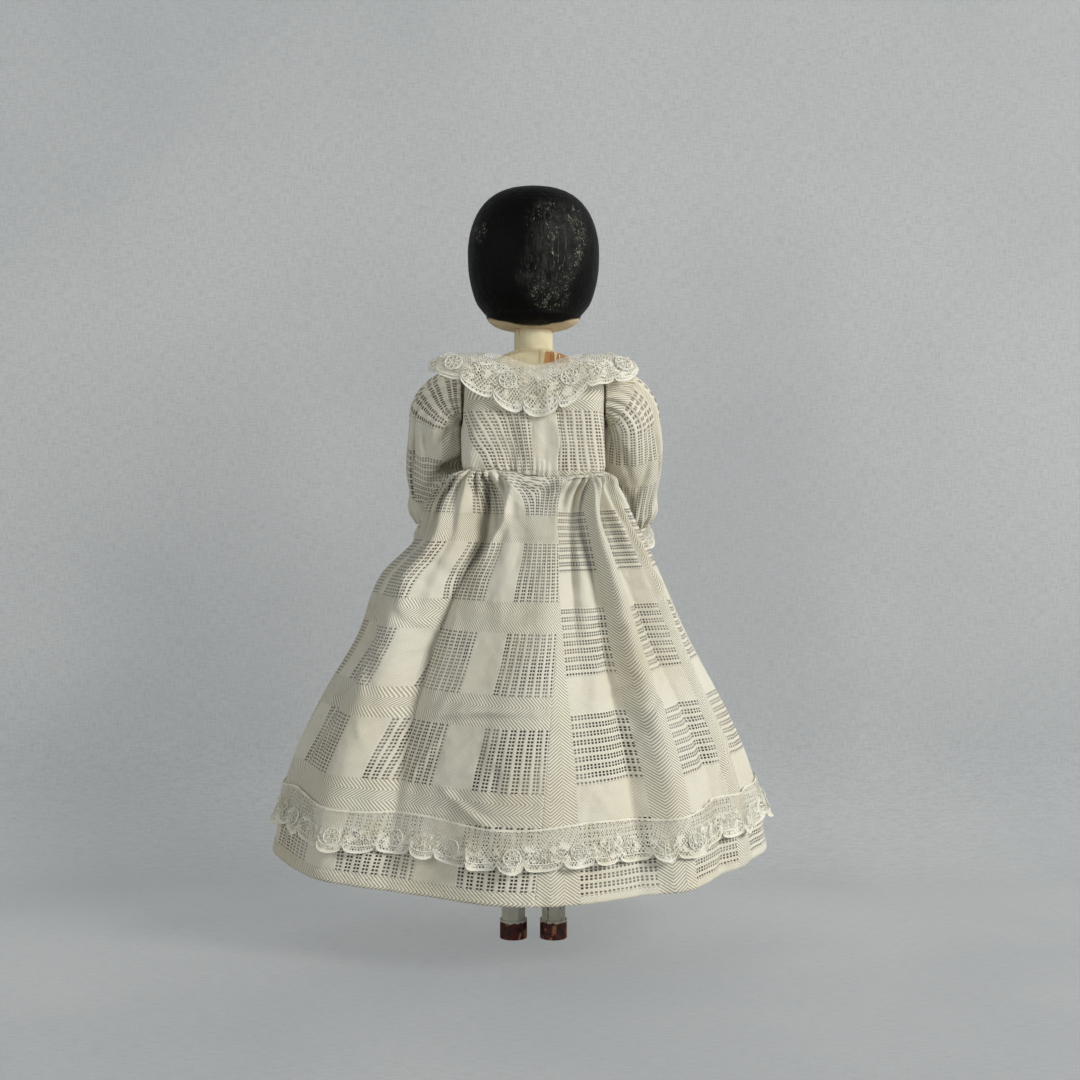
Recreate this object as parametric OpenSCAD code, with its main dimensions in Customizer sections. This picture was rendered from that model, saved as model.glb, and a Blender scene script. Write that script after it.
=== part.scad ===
// Peg-wooden doll in a gathered cotton dress trimmed with lace.
// The doll stands upright, its face towards +Y and its back towards -Y. Its left side is -X.
// Millimetres. The origin is at the middle of the dress's outline, on the floor.

/* [Legs] */
// Sole to knee axis
shin_l = 76; // [70:1:84]
// Knee axis to hip axis
thigh_l = 70; // [64:1:78]
// Distance between the two leg centre lines
leg_pitch = 16; // [15:0.5:20]
// Thigh radius at the hip
thigh_r = 7.2; // [6:0.1:7.4]
// Leg radius at the knee
knee_r = 6; // [5:0.1:6.4]
// Ankle radius, across the carved facets
ankle_r = 4.9; // [4:0.1:5.5]
// Shoe length, heel to toe
shoe_l = 26; // [20:1:32]
// Shoe width
shoe_w = 10.8; // [9:0.2:12]
// Height of the painted shoe at the heel
shoe_h = 7.5; // [6:0.5:10]

/* [Trunk and head] */
// Hip axis to shoulder axis
trunk_l = 71; // [66:1:78]
// Width of the trunk across its flat shoulders
shoulder_w = 48; // [42:1:50]
// Thickness of the trunk across its planed front and back
trunk_d = 25; // [22:0.5:26]
// Radius of the turned waist
waist_r = 17.5; // [14:0.5:20]
// Radius of the turned hips
hip_r = 19; // [17:0.5:21]
// Shoulder axis to the base of the neck
shoulder_rise = 17.6; // [16:0.2:19]
// Neck length
neck_l = 7.4; // [6:0.2:10]
// Neck radius
neck_r = 7.7; // [6:0.1:9]
// Head height, chin to crown
head_h = 57; // [50:1:62]
// Largest head radius
head_r = 26.3; // [23:0.1:28]
// Radius of the jaw
jaw_r = 19; // [16:0.5:21]
// How far the nose wedge stands out
nose_out = 3; // [2:0.2:4]

/* [Arms] */
// Shoulder axis to elbow axis
upper_arm_l = 76; // [74:1:80]
// Elbow axis to finger tips
forearm_l = 52; // [46:1:58]
// Upper arm radius
arm_r = 5; // [4.2:0.1:5.6]
// Wrist radius, across the carved facets
wrist_r = 3.2; // [2.6:0.1:3.8]
// How far the arms swing forward at rest, in degrees
arm_tilt = 30; // [28:1:34]

/* [Pegs] */
// Radius of the dowels through shoulders and hips
dowel_r = 2.2; // [1.6:0.1:2.6]
// Radius of the knee pegs
knee_peg_r = 1.5; // [1.2:0.1:1.8]
// Radius of the elbow pegs
elbow_peg_r = 1.2; // [0.9:0.1:1.4]
// Radial clearance of a turning bore on its peg
running = 0.06; // [0.03:0.01:0.09]
// Side clearance of a tongue in its slot
slide_gap = 0.15; // [0.1:0.05:0.3]
// Thickness of the knee tongue
knee_tongue = 3.6; // [3:0.2:4.4]
// Thickness of the elbow tongue
elbow_tongue = 2.8; // [2.2:0.2:3.4]
// Thickness of the trunk's tongue between the thighs
hip_tongue = 6.4; // [5:0.2:8]

/* [Bodice and sleeves] */
// Shoulder axis down to the waist seam
bodice_l = 30.2; // [27:0.2:34]
// How far the bodice stands out past the shoulders, at each side
bodice_room = 4.2; // [3.8:0.1:6]
// Depth of the bodice, front to back
bodice_d = 33.4; // [31:0.2:36]
// Radius of the round armholes
armhole_r = 10; // [9:0.2:11]
// How far the left back laps over the right past the middle
lap = 9.5; // [6:0.5:12]
// Radius of the sleeve at its puff
sleeve_r = 11.8; // [11:0.1:12.6]
// Shoulder axis to the gathers above the cuff
sleeve_l = 58; // [52:1:60]
// Radius of the gathered cuff
cuff_r = 8; // [7:0.2:9]
// Gap from the sleeve's armhole seam to the arm's stick
arm_room = 3.4; // [3:0.1:4]
// Width of the cuff lace
cuff_lace_w = 10.5; // [8:0.5:11]

/* [Skirt] */
// Skirt length at the sides
skirt_side_l = 148.6; // [140:1:156]
// Skirt length at the middle of the front and back
skirt_mid_l = 157.6; // [150:1:165]
// Hem reach to the doll's left
reach_left = 103.8; // [95:1:112]
// Hem reach to the doll's right
reach_right = 91.4; // [85:1:100]
// Hem reach to the front and to the back
reach_depth = 67; // [66:1:72]
// Number of folds round the hem, an even number
folds = 14; // [10:2:18]
// Depth of the folds at the hem, as a share of the reach
fold_depth = 0.045; // [0.01:0.005:0.06]

/* [Lace] */
// Width of the collar lace down the back
collar_drop = 24; // [18:0.5:26]
// Reach of the collar over the sleeves, from the middle
collar_reach = 40; // [34:0.5:44]
// Width of the hem lace
hem_lace_w = 14.6; // [10:0.2:18]
// Hem lace heading above the hem edge at the back
hem_border = 27; // [20:0.5:30]

/* [Cloth] */
// Thickness of a cloth piece
cloth = 0.8; // [0.6:0.1:1]
// Gap between pieces that lie on each other
ease = 0.3; // [0.2:0.05:0.4]

/* [Hidden] */
$fn = 48;
knee_z = shin_l;
hip_z = knee_z + thigh_l;
shoulder_z = hip_z + trunk_l;
neck_z = shoulder_z + shoulder_rise;
chin_z = neck_z + neck_l;
crown_z = chin_z + head_h;
seam_z = shoulder_z - bodice_l;
bodice_w = shoulder_w + 2 * bodice_room;
doll_x = (reach_left - reach_right) / 2;
leg_x = leg_pitch / 2;
armhole_x = bodice_w / 2 + ease;
arm_x = armhole_x + cloth + ease + arm_r + arm_room;
sleeve_x = arm_x + ease;
hub_r = armhole_r - cloth - 2;
hub_out = arm_x + arm_r * 0.7;
hip_disc_r = thigh_r + 0.6;
cloth_colour = "ivory";
paint_colour = "antiquewhite";

// ---- shared functions ----

// A smooth value through [place, value] points, by Catmull-Rom
function seg(p, x, i = 0) = i < len(p) - 2 && x > p[i + 1][0] ? seg(p, x, i + 1) : i;
function slope(p, i) = let (a = p[max(i - 1, 0)], b = p[min(i + 1, len(p) - 1)])
    (b[1] - a[1]) / (b[0] - a[0]);
function smooth(p, x) =
    let (i = seg(p, x), a = p[i], b = p[i + 1], w = b[0] - a[0],
        t = min(max((x - a[0]) / w, 0), 1), t2 = t * t, t3 = t2 * t)
    (2 * t3 - 3 * t2 + 1) * a[1] + (t3 - 2 * t2 + t) * w * slope(p, i)
        + (3 * t2 - 2 * t3) * b[1] + (t3 - t2) * w * slope(p, i + 1);
function ease_in(x) = let (t = min(max(x, 0), 1)) t * t * (3 - 2 * t);
// Radius of a rounded oblong with half sizes a and b, in the direction t
function oblong(t, a, b, n) =
    pow(pow(abs(cos(t)) / a, n) + pow(abs(sin(t)) / b, n), -1 / n);

// Closed solid between an outer and an inner sheet of points, which are lists of rows.
// A ring's rows close on themselves, and a patch's don't.
module sheet(outer, inner, ring = false) {
    rows = len(outer);
    cols = len(outer[0]);
    n = rows * cols;
    wrap = ring ? cols : cols - 1;
    function at(r, c) = r * cols + c % cols;
    points = concat([for (row = outer) each row], [for (row = inner) each row]);
    faces = concat(
        [for (r = [0:rows - 2], c = [0:wrap - 1]) each [
            [at(r, c), at(r, c + 1), at(r + 1, c + 1)],
            [at(r, c), at(r + 1, c + 1), at(r + 1, c)],
            [n + at(r, c), n + at(r + 1, c + 1), n + at(r, c + 1)],
            [n + at(r, c), n + at(r + 1, c), n + at(r + 1, c + 1)]]],
        [for (c = [0:wrap - 1]) each [
            [at(0, c), n + at(0, c + 1), at(0, c + 1)],
            [at(0, c), n + at(0, c), n + at(0, c + 1)],
            [at(rows - 1, c), at(rows - 1, c + 1), n + at(rows - 1, c + 1)],
            [at(rows - 1, c), n + at(rows - 1, c + 1), n + at(rows - 1, c)]]],
        ring ? [] : [for (r = [0:rows - 2]) each [
            [at(r, 0), at(r + 1, 0), n + at(r + 1, 0)],
            [at(r, 0), n + at(r + 1, 0), n + at(r, 0)],
            [at(r, cols - 1), n + at(r + 1, cols - 1), at(r + 1, cols - 1)],
            [at(r, cols - 1), n + at(r, cols - 1), n + at(r + 1, cols - 1)]]]);
    polyhedron(points, faces);
}

module along_x(r, from, to) {
    translate([from, 0, 0]) rotate([0, 90, 0]) cylinder(r = r, h = to - from);
}

// Places a right-hand piece, or its mirror image for the left
module on_side(side) {
    translate([doll_x, 0, 0])
        if (side < 0) mirror([1, 0, 0]) children();
        else children();
}

// ---- trunk and head ----

trunk_outline = [[-hip_disc_r, hip_r - 3], [0, hip_r - 0.5], [12, hip_r],
    [trunk_l * 0.52, waist_r], [trunk_l * 0.8, shoulder_w * 0.52],
    [trunk_l + shoulder_rise * 0.23, shoulder_w * 0.53],
    [trunk_l + shoulder_rise * 0.62, shoulder_w * 0.425],
    [trunk_l + shoulder_rise * 0.85, shoulder_w * 0.29], [trunk_l + shoulder_rise, neck_r]];

// Head radius at each share of its height, from the jaw to the widest place
head_outline = [[0.115, jaw_r], [0.19, head_r * 0.855], [0.3, head_r * 0.94],
    [0.42, head_r * 0.988], [0.54, head_r]];

module turned_blank() {
    head_mid = chin_z + head_h * 0.54;
    jaw_z = head_h * 0.115;
    rotate_extrude() polygon(concat(
        [[0, hip_z - hip_disc_r]],
        [for (k = [0:28])
            let (s = -hip_disc_r + k / 28 * (trunk_l + shoulder_rise + hip_disc_r))
            [smooth(trunk_outline, s), hip_z + s]],
        [[neck_r, chin_z + jaw_z * 0.1]],
        [for (a = [20:14:80]) [neck_r + (jaw_r - neck_r) * sin(a),
            chin_z + jaw_z * (1 - 0.9 * cos(a))]],
        [for (k = [0:11]) let (t = 0.115 + 0.425 * k / 12)
            [smooth(head_outline, t), chin_z + head_h * t]],
        [for (a = [0:6:84]) [head_r * pow(cos(a), 0.66),
            head_mid + (crown_z - head_mid) * sin(a)]],
        [[0, crown_z]]));
}

module nose_shape() {
    z = chin_z + head_h * 0.42;
    y = head_r * 0.9;
    half_w = 1.7;
    translate([0, y, z]) rotate([90, 0, 90])
        linear_extrude(2 * half_w, center = true)
            polygon([[-3, -3.6], [1.5 + nose_out, -3.6], [1.5 + nose_out, -2.4],
                [1, 5], [-3, 5]]);
}

module head_and_torso() {
    color(paint_colour) translate([doll_x, 0, 0]) difference() {
        intersection() {
            turned_blank();
            union() {
                translate([-shoulder_w / 2, -trunk_d / 2, hip_z - hip_disc_r])
                    cube([shoulder_w, trunk_d, trunk_l + shoulder_rise + hip_disc_r]);
                translate([-head_r, -head_r, neck_z - 0.5])
                    cube([2 * head_r, 2 * head_r, crown_z - neck_z + 1]);
            }
        }
        translate([0, 0, shoulder_z]) along_x(dowel_r, -shoulder_w, shoulder_w);
        translate([0, 0, hip_z]) along_x(dowel_r, -hip_r - 1, hip_r + 1);
        for (side = [-1, 1]) {
            x = side * hip_tongue / 2;
            far = side * (hip_r + 2);
            translate([min(x, far), -trunk_d, hip_z - hip_disc_r - 1])
                cube([abs(far - x), 2 * trunk_d, hip_disc_r + 3.4]);
            translate([0, 0, hip_z]) along_x(hip_disc_r + 2 * ease, min(x, far), max(x, far));
        }
        for (side = [-1, 1]) tongue_round(side);
        nose_shape();
    }
}

// Rounds the front or back foot of the trunk's tongue about the hip axis
module tongue_round(side) {
    w = hip_tongue + 0.2;
    difference() {
        translate([-w / 2, side > 0 ? 0 : -trunk_d, hip_z - hip_disc_r - 1])
            cube([w, trunk_d, hip_disc_r + 1]);
        translate([0, 0, hip_z]) along_x(hip_disc_r, -w, w);
    }
}

module nose_wedge() {
    color(paint_colour) translate([doll_x, 0, 0]) nose_shape();
}

module shoulder_dowel() {
    color("tan") translate([doll_x, 0, shoulder_z]) along_x(dowel_r, -hub_out, hub_out);
}

module hip_dowel() {
    reach = leg_x + thigh_r - 0.8;
    color("tan") translate([doll_x, 0, hip_z]) along_x(dowel_r, -reach, reach);
}

// ---- pegged joints ----

// A limb's forked end, open downwards, about a peg axis at the origin
module fork(r, slot_w) {
    difference() {
        intersection() {
            children();
            union() {
                translate([-2 * r, -2 * r, 0]) cube([4 * r, 4 * r, 200]);
                along_x(r, -2 * r, 2 * r);
            }
        }
        translate([-slot_w / 2, -2 * r, -2 * r]) cube([slot_w, 4 * r, 3 * r + ease]);
    }
}

// The tongue on the next limb, hanging below the peg axis
module tongue(r, w) {
    along_x(r, -w / 2, w / 2);
    translate([-w / 2, -r * 0.86, -r - 2]) cube([w, r * 1.72, r + 2]);
}

// ---- arms: modelled hanging down from the shoulder axis, then swung forward ----

module in_arm(side) {
    on_side(side) translate([0, 0, shoulder_z]) rotate([arm_tilt, 0, 0]) children();
}

module upper_arm(side) {
    color(paint_colour) in_arm(side) difference() {
        union() {
            along_x(hub_r, shoulder_w / 2 + slide_gap, arm_x - 2);
            translate([arm_x, 0, 0]) sphere(r = arm_r + 0.4);
            translate([arm_x, 0, -upper_arm_l])
                fork(arm_r, elbow_tongue + 2 * slide_gap)
                    translate([0, 0, -arm_r]) cylinder(r = arm_r, h = upper_arm_l + arm_r);
        }
        along_x(dowel_r + running, 0, hub_out + 1);
        translate([arm_x, 0, -upper_arm_l]) along_x(elbow_peg_r, -arm_r, arm_r);
    }
}

module elbow_peg(side) {
    half = arm_r - 0.4;
    color("tan") in_arm(side) translate([arm_x, 0, -upper_arm_l])
        along_x(elbow_peg_r, -half, half);
}

module forearm(side) {
    tongue_r = arm_r - 0.3;
    top = -arm_r - ease;
    hand_l = forearm_l * 0.36;
    wrist_z = hand_l - forearm_l;
    color(paint_colour) in_arm(side) translate([arm_x, 0, -upper_arm_l])
        difference() {
            union() {
                tongue(tongue_r, elbow_tongue);
                translate([0, 0, wrist_z]) rotate([0, 0, 22.5])
                    cylinder(r1 = wrist_r, r2 = arm_r - 0.2, h = top - wrist_z, $fn = 8);
                hull() {
                    translate([0, 0, wrist_z]) cylinder(r = wrist_r * 0.9, h = 1, $fn = 16);
                    translate([0, 0, wrist_z - hand_l * 0.42])
                        along_x_disc(hand_l * 0.24, 2.6);
                }
                hull() {
                    translate([0, 0, wrist_z - hand_l * 0.42])
                        along_x_disc(hand_l * 0.24, 2.6);
                    translate([0, 0.6, -forearm_l + 2.4]) along_x_disc(2.4, 1.9);
                }
                // thumb
                hull() {
                    translate([0, hand_l * 0.14, wrist_z - 2]) sphere(r = 1.4, $fn = 16);
                    translate([0, hand_l * 0.34, wrist_z - hand_l * 0.5])
                        sphere(r = 1.1, $fn = 16);
                }
            }
            along_x(elbow_peg_r + running, -arm_r, arm_r);
        }
}

// A flat disc with its axis along X
module along_x_disc(r, w) {
    rotate([0, 90, 0]) cylinder(r = r, h = w, center = true, $fn = 24);
}

// ---- legs ----

module thigh(side) {
    color(paint_colour) on_side(side) translate([leg_x, 0, 0]) difference() {
        translate([0, 0, knee_z]) fork(knee_r, knee_tongue + 2 * slide_gap)
            union() {
                translate([0, 0, -knee_r]) cylinder(r = knee_r, h = knee_r + thigh_l * 0.25);
                translate([0, 0, thigh_l * 0.25])
                    cylinder(r1 = knee_r, r2 = thigh_r, h = thigh_l * 0.55);
                translate([0, 0, thigh_l * 0.8]) cylinder(r = thigh_r, h = thigh_l * 0.2);
                translate([0, 0, thigh_l]) intersection() {
                    along_x(hip_disc_r, -thigh_r, thigh_r);
                    translate([0, 0, -1]) cylinder(r = thigh_r, h = hip_disc_r + 2);
                }
            }
        // seat beside the trunk's tongue
        translate([-leg_x, 0, hip_z])
            along_x(hip_disc_r + 2 * ease, -1, hip_tongue / 2 + slide_gap);
        translate([0, 0, hip_z]) along_x(dowel_r + running, -leg_x, thigh_r + 1);
        translate([0, 0, knee_z]) along_x(knee_peg_r, -knee_r, knee_r);
    }
}

module knee_peg(side) {
    half = knee_r - 0.5;
    color("tan") on_side(side) translate([leg_x, 0, knee_z])
        along_x(knee_peg_r, -half, half);
}

module lower_leg(side) {
    top = knee_z - knee_r - ease;
    calf_z = knee_z * 0.62;
    color(paint_colour) on_side(side) translate([leg_x, 0, 0]) difference() {
        union() {
            translate([0, 0, knee_z]) tongue(knee_r - 0.3, knee_tongue);
            translate([0, 0, shoe_h - 1]) rotate([0, 0, 22.5])
                cylinder(r1 = ankle_r, r2 = knee_r, h = calf_z - shoe_h + 1, $fn = 8);
            translate([0, 0, calf_z]) rotate([0, 0, 22.5])
                cylinder(r1 = knee_r, r2 = knee_r - 0.4, h = top - calf_z, $fn = 8);
            // shoe, carved from the same stick
            hull() {
                cylinder(r = shoe_w / 2, h = shoe_h, $fn = 32);
                translate([0, shoe_l - shoe_w - 1, 0])
                    cylinder(r = shoe_w / 2 - 1, h = shoe_h * 0.55, $fn = 32);
            }
        }
        translate([0, 0, knee_z]) along_x(knee_peg_r + running, -knee_r, knee_r);
    }
}

// ---- bodice ----

bodice_square = 5;
neck_rise = armhole_r + 3.2;
neck_in = bodice_w * 0.13;
// Height above the shoulder axis, half width and half depth of the bodice's rings
function bodice_rings() = let (a = bodice_w / 2, b = bodice_d / 2, r = armhole_r)
    [[neck_rise, a - neck_in, b - 2], [r + 1.6, a - 4.6, b - 1.4],
    [r + 0.05, a - 2.6, b - 1], [r * 0.94, a - 2, b - 0.9], [r * 0.75, a - 0.9, b - 0.6],
    [r * 0.4, a - 0.2, b - 0.3], [0, a, b - 0.2], [-r * 0.35, a, b], [-r * 0.7, a, b],
    [-r * 0.94, a, b], [-r - 0.05, a, b], [-0.66 * bodice_l, a, b], [-bodice_l, a, b]];

// Direction of the armhole's edge, or of the side seam above and below it
function side_angle(ring) =
    let (y = abs(ring[0]) < armhole_r
            ? sqrt(armhole_r * armhole_r - ring[0] * ring[0]) : 0.06,
        n = bodice_square)
    atan2(y, ring[1] * pow(1 - pow(y / ring[2], n), 1 / n));

function bodice_point(ring, t, off, lift_side) =
    let (r0 = oblong(t, ring[1], ring[2], bodice_square), x0 = r0 * cos(t),
        lift = lift_side ? (cloth + 0.2) * ease_in((x0 + 9) / 6) : 0,
        r = r0 + lift - off, up = (ring[0] + bodice_l) / (bodice_l + armhole_r))
    [r * cos(t), r * sin(t), shoulder_z + ring[0] + (lift * 0.9 - off) * pow(up, 3)];

// One piece of the bodice, from the angle from(ring) to the angle to(ring)
module bodice_piece(from, to, cols, lifted = false) {
    rings = bodice_rings();
    function row(ring, off) = let (a = from(ring), b = to(ring))
        [for (k = [0:cols]) bodice_point(ring, a + (b - a) * k / cols, off, lifted)];
    color(cloth_colour) translate([doll_x, 0, 0])
        sheet([for (r = rings) row(r, 0)], [for (r = rings) row(r, cloth)]);
}

module bodice_front() {
    bodice_piece(function (r) side_angle(r), function (r) 180 - side_angle(r), 22);
}

module bodice_left_back() {
    bodice_piece(function (r) 180 + side_angle(r),
        function (r) 270 + atan(lap / r[2] * lap_taper(r)), 14, true);
}

module bodice_right_back() {
    bodice_piece(function (r) 270 - atan(0.06 * lap / r[2]),
        function (r) 360 - side_angle(r), 11);
}

// The lap narrows where the shoulders slope in to the neckline
function lap_taper(ring) = min(1, (ring[1] - 4) / (bodice_w / 2 - 8));

// ---- sleeves ----

// Radius at each share of the sleeve's length
sleeve_outline = [[0, armhole_r], [0.17, armhole_r * 1.06], [0.38, sleeve_r * 0.965],
    [0.655, sleeve_r], [0.88, sleeve_r * 0.9], [1, cuff_r]];
// Share of the length in which it turns from the armhole, and where it starts to hang
sleeve_turn = 0.19;
sleeve_hang = 0.52;

// Ring of a sleeve: it turns about the underarm from the armhole to hang down the arm
function sleeve_ring(s, off) =
    let (r_out = smooth(sleeve_outline, s), r = r_out - off, a = min(s / sleeve_turn, 1) * 90,
        down = max(s - sleeve_turn, 0) * sleeve_l, swing = armhole_r * 0.1,
        hang = ease_in((s - sleeve_hang) / (1 - sleeve_hang)),
        mid = [armhole_x + (swing + r_out) * sin(a),
            (swing + r_out) * cos(a) - armhole_r - swing - down],
        x = mid[0] * (1 - hang) + sleeve_x * hang)
    [for (t = [0:20:340]) [x + r * cos(t) * sin(a), r * sin(t), mid[1] + r * cos(t) * cos(a)]];

module sleeve(side) {
    stations = concat([for (k = [0:4]) sleeve_turn * k / 4],
        [0.31, 0.45, 0.62, 0.76, 0.88, 0.95, 1]);
    color(cloth_colour) in_arm(side)
        sheet([for (s = stations) sleeve_ring(s, 0)],
            [for (s = stations) sleeve_ring(s, cloth)], true);
}

module cuff_lace(side) {
    flare = cuff_r * 0.32;
    levels = [0, 0.35, 0.7, 1];
    function ring(k, off) = let (r = cuff_r + flare * k - off,
            z = -sleeve_l - ease - k * cuff_lace_w)
        [for (t = [0:20:340]) [sleeve_x + r * cos(t), r * sin(t), z]];
    color("white") in_arm(side)
        sheet([for (k = levels) ring(k, 0)], [for (k = levels) ring(k, cloth)], true);
}

// ---- skirt ----

// Share of the reach at each share of the length, at the left, the right and the middle
left_outline = [[0, 0], [0.08, 0.17], [0.18, 0.25], [0.28, 0.44], [0.44, 0.55],
    [0.6, 0.73], [0.8, 0.915], [1, 1]];
right_outline = [[0, 0], [0.08, 0.12], [0.28, 0.375], [0.44, 0.535], [0.69, 0.825],
    [0.85, 0.95], [1, 1]];
mid_outline = [[0, 0], [0.14, 0.08], [0.3, 0.3], [0.6, 0.72], [1, 1]];

function skirt_len(t) =
    skirt_side_l + (skirt_mid_l - skirt_side_l) * pow(abs(sin(t)), 1.5);
function skirt_point(t, u, off) =
    let (a0 = bodice_w / 2, b0 = bodice_d / 2,
        a = cos(t) < 0 ? a0 + (reach_left - a0) * smooth(left_outline, u)
            : a0 + (reach_right - a0) * smooth(right_outline, u),
        b = b0 + (reach_depth - b0) * smooth(mid_outline, u),
        square = 2 + 3 * pow(1 - u, 30),
        fold = 1 + fold_depth * (0.3 + 0.7 * u) * ease_in(u * 12) * (cos(folds * t) - 1),
        r = oblong(t, a, b, square) * fold + off)
    [r * cos(t), r * sin(t), seam_z - ease - u * skirt_len(t)];

module skirt_panel(side) {
    steps = 36;
    rows = [0, 0.03, 0.08, 0.14, 0.21, 0.29, 0.37, 0.46, 0.56, 0.67, 0.78, 0.89, 1];
    from = side > 0 ? -90 : 90;
    function turn(k) = from + (k == 0 ? 0.1 : k == steps ? 179.9 : 180 * k / steps);
    function row(u, off) = [for (k = [0:steps]) skirt_point(turn(k), u, off)];
    color(cloth_colour) translate([doll_x, 0, 0])
        sheet([for (u = rows) row(u, 0)], [for (u = rows) row(u, -cloth)]);
}

// ---- lace ----

module hem_lace() {
    steps = 72;
    function ring(k, off) = [for (j = [0:steps - 1])
        let (t = 360 * j / steps, u = 1 - (hem_border - k * hem_lace_w) / skirt_len(t))
        skirt_point(t, u, ease + off)];
    color("white") translate([doll_x, 0, 0])
        sheet([for (k = [0:0.5:1]) ring(k, cloth)], [for (k = [0:0.5:1]) ring(k, 0)], true);
}

module collar_lace() {
    neck_a = bodice_w / 2 - neck_in - 1;
    neck_b = bodice_d / 2 - 1;
    top = shoulder_z + neck_rise + 2 * (cloth + ease) + 0.4;
    out_b = bodice_d / 2 + 2 * (cloth + ease) + 0.3;
    side_drop = 1.6;
    front_reach = bodice_w / 2 - 1;
    function point(t, v, off) =
        let (near = oblong(t, neck_a, neck_b, 2.5),
            reach = collar_reach + (front_reach - collar_reach) * ease_in((sin(t) + 0.06) / 0.2),
            far = oblong(t, reach, out_b, bodice_square),
            drop = side_drop + (collar_drop - side_drop) * ease_in((abs(sin(t)) - 0.45) / 0.5),
            r = near + (far - near) * pow(sin(90 * v), 0.6) - off * sin(90 * v))
        [r * cos(t), r * sin(t), top - off - drop * (1 - cos(90 * v))];
    levels = [0, 0.25, 0.5, 0.75, 1];
    color("white") translate([doll_x, 0, 0])
        sheet([for (v = levels) [for (t = [0:9:351]) point(t, v, 0)]],
            [for (v = levels) [for (t = [0:9:351]) point(t, v, cloth)]], true);
}

head_and_torso();
nose_wedge();
shoulder_dowel();
hip_dowel();
upper_arm(-1);  // left_upper_arm
upper_arm(1);  // right_upper_arm
elbow_peg(-1);  // left_elbow_peg
elbow_peg(1);  // right_elbow_peg
forearm(-1);  // left_forearm
forearm(1);  // right_forearm
thigh(-1);  // left_thigh
thigh(1);  // right_thigh
knee_peg(-1);  // left_knee_peg
knee_peg(1);  // right_knee_peg
lower_leg(-1);  // left_lower_leg
lower_leg(1);  // right_lower_leg
bodice_front();
bodice_left_back();
bodice_right_back();
sleeve(-1);  // left_sleeve
sleeve(1);  // right_sleeve
skirt_panel(-1);  // skirt_left_panel
skirt_panel(1);  // skirt_right_panel
collar_lace();
cuff_lace(-1);  // left_cuff_lace
cuff_lace(1);  // right_cuff_lace
hem_lace();
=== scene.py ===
import math

import bpy
import numpy as np
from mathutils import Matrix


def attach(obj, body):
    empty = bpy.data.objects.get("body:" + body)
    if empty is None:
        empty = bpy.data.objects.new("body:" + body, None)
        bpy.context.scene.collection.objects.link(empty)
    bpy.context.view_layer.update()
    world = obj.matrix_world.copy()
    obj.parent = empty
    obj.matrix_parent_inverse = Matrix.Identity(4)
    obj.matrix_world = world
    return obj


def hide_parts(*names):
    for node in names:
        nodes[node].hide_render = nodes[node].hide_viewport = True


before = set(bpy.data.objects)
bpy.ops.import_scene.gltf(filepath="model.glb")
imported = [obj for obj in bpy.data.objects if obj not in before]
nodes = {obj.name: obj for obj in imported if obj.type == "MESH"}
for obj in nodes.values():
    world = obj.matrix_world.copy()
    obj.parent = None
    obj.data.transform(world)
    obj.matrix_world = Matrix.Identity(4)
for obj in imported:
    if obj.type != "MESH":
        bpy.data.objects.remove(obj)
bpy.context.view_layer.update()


# ---- Trunk and head ----
# One turned and planed limewood blank: round head, thin neck and flat body with square
# shoulders. Gesso and cream paint cover head, neck and shoulders, and black paint the hair.

doll_x = 0.0062
eye_x, eye_z, brow_z = 0.0088, 0.2685, 0.2738
cheek_x, cheek_z = 0.0125, 0.2585
mouth_z = 0.2505
face_z, hairline_r = 0.262, 0.0232
nape_z = 0.2420
streak_x = 0.0096


class Wire:
    """An output of a finish or of a pattern tree, on which sums are written as in Python."""

    def __init__(self, work, socket):
        self.work = work
        self.socket = socket

    def sum(self, operation, *values):
        return self.work.add("ShaderNodeMath", {"operation": operation}, dict(enumerate(values)))

    def __add__(self, other):
        return self.sum("ADD", self, other)

    def __sub__(self, other):
        return self.sum("SUBTRACT", self, other)

    def __rsub__(self, other):
        return self.sum("SUBTRACT", other, self)

    def __mul__(self, other):
        return self.sum("MULTIPLY", self, other)

    def __truediv__(self, other):
        return self.sum("DIVIDE", self, other)

    def __pow__(self, other):
        return self.sum("POWER", self, other)

    def __abs__(self):
        return self.sum("ABSOLUTE", self)

    __radd__ = __add__
    __rmul__ = __mul__

    def share(self):
        """What is left past the last whole number."""
        return self.sum("FRACT", self)

    def whole(self):
        return self.sum("FLOOR", self)

    def sine(self):
        return self.sum("SINE", self)

    def least(self, other):
        return self.sum("MINIMUM", self, other)

    def most(self, other):
        return self.sum("MAXIMUM", self, other)

    def ramp(self, low, high):
        """0 below low and 1 above high, with a soft step between; high may be the lower."""
        return self.work.add(
            "ShaderNodeMapRange",
            {"interpolation_type": "SMOOTHSTEP"},
            {"Value": self, "From Min": low, "From Max": high},
        )


class Work:
    """A node tree that is filled in one node at a time."""

    def __init__(self, tree):
        self.tree = tree

    def add(self, kind, settings=None, sockets=None, out=0):
        """Adds one node, and gives the output asked for, or several of them."""
        node = self.tree.nodes.new(kind)
        for name, value in (settings or {}).items():
            setattr(node, name, value)
        for name, value in (sockets or {}).items():
            if isinstance(value, Wire):
                self.tree.links.new(value.socket, node.inputs[name])
            else:
                node.inputs[name].default_value = value
        if isinstance(out, tuple):
            return [Wire(self, node.outputs[which]) for which in out]
        return Wire(self, node.outputs[out]) if len(node.outputs) else None


def colour(red, green, blue):
    """A painted or dyed colour, from its 0 to 255 values on a screen."""
    flat = [v / 12.92 if v <= 0.04045 else ((v + 0.055) / 1.055) ** 2.4
            for v in (red / 255, green / 255, blue / 255)]
    return (*flat, 1.0)


def distance(across, up):
    """How far a place is from the one that across and up are measured from."""
    return (across ** 2 + up ** 2) ** 0.5


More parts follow.
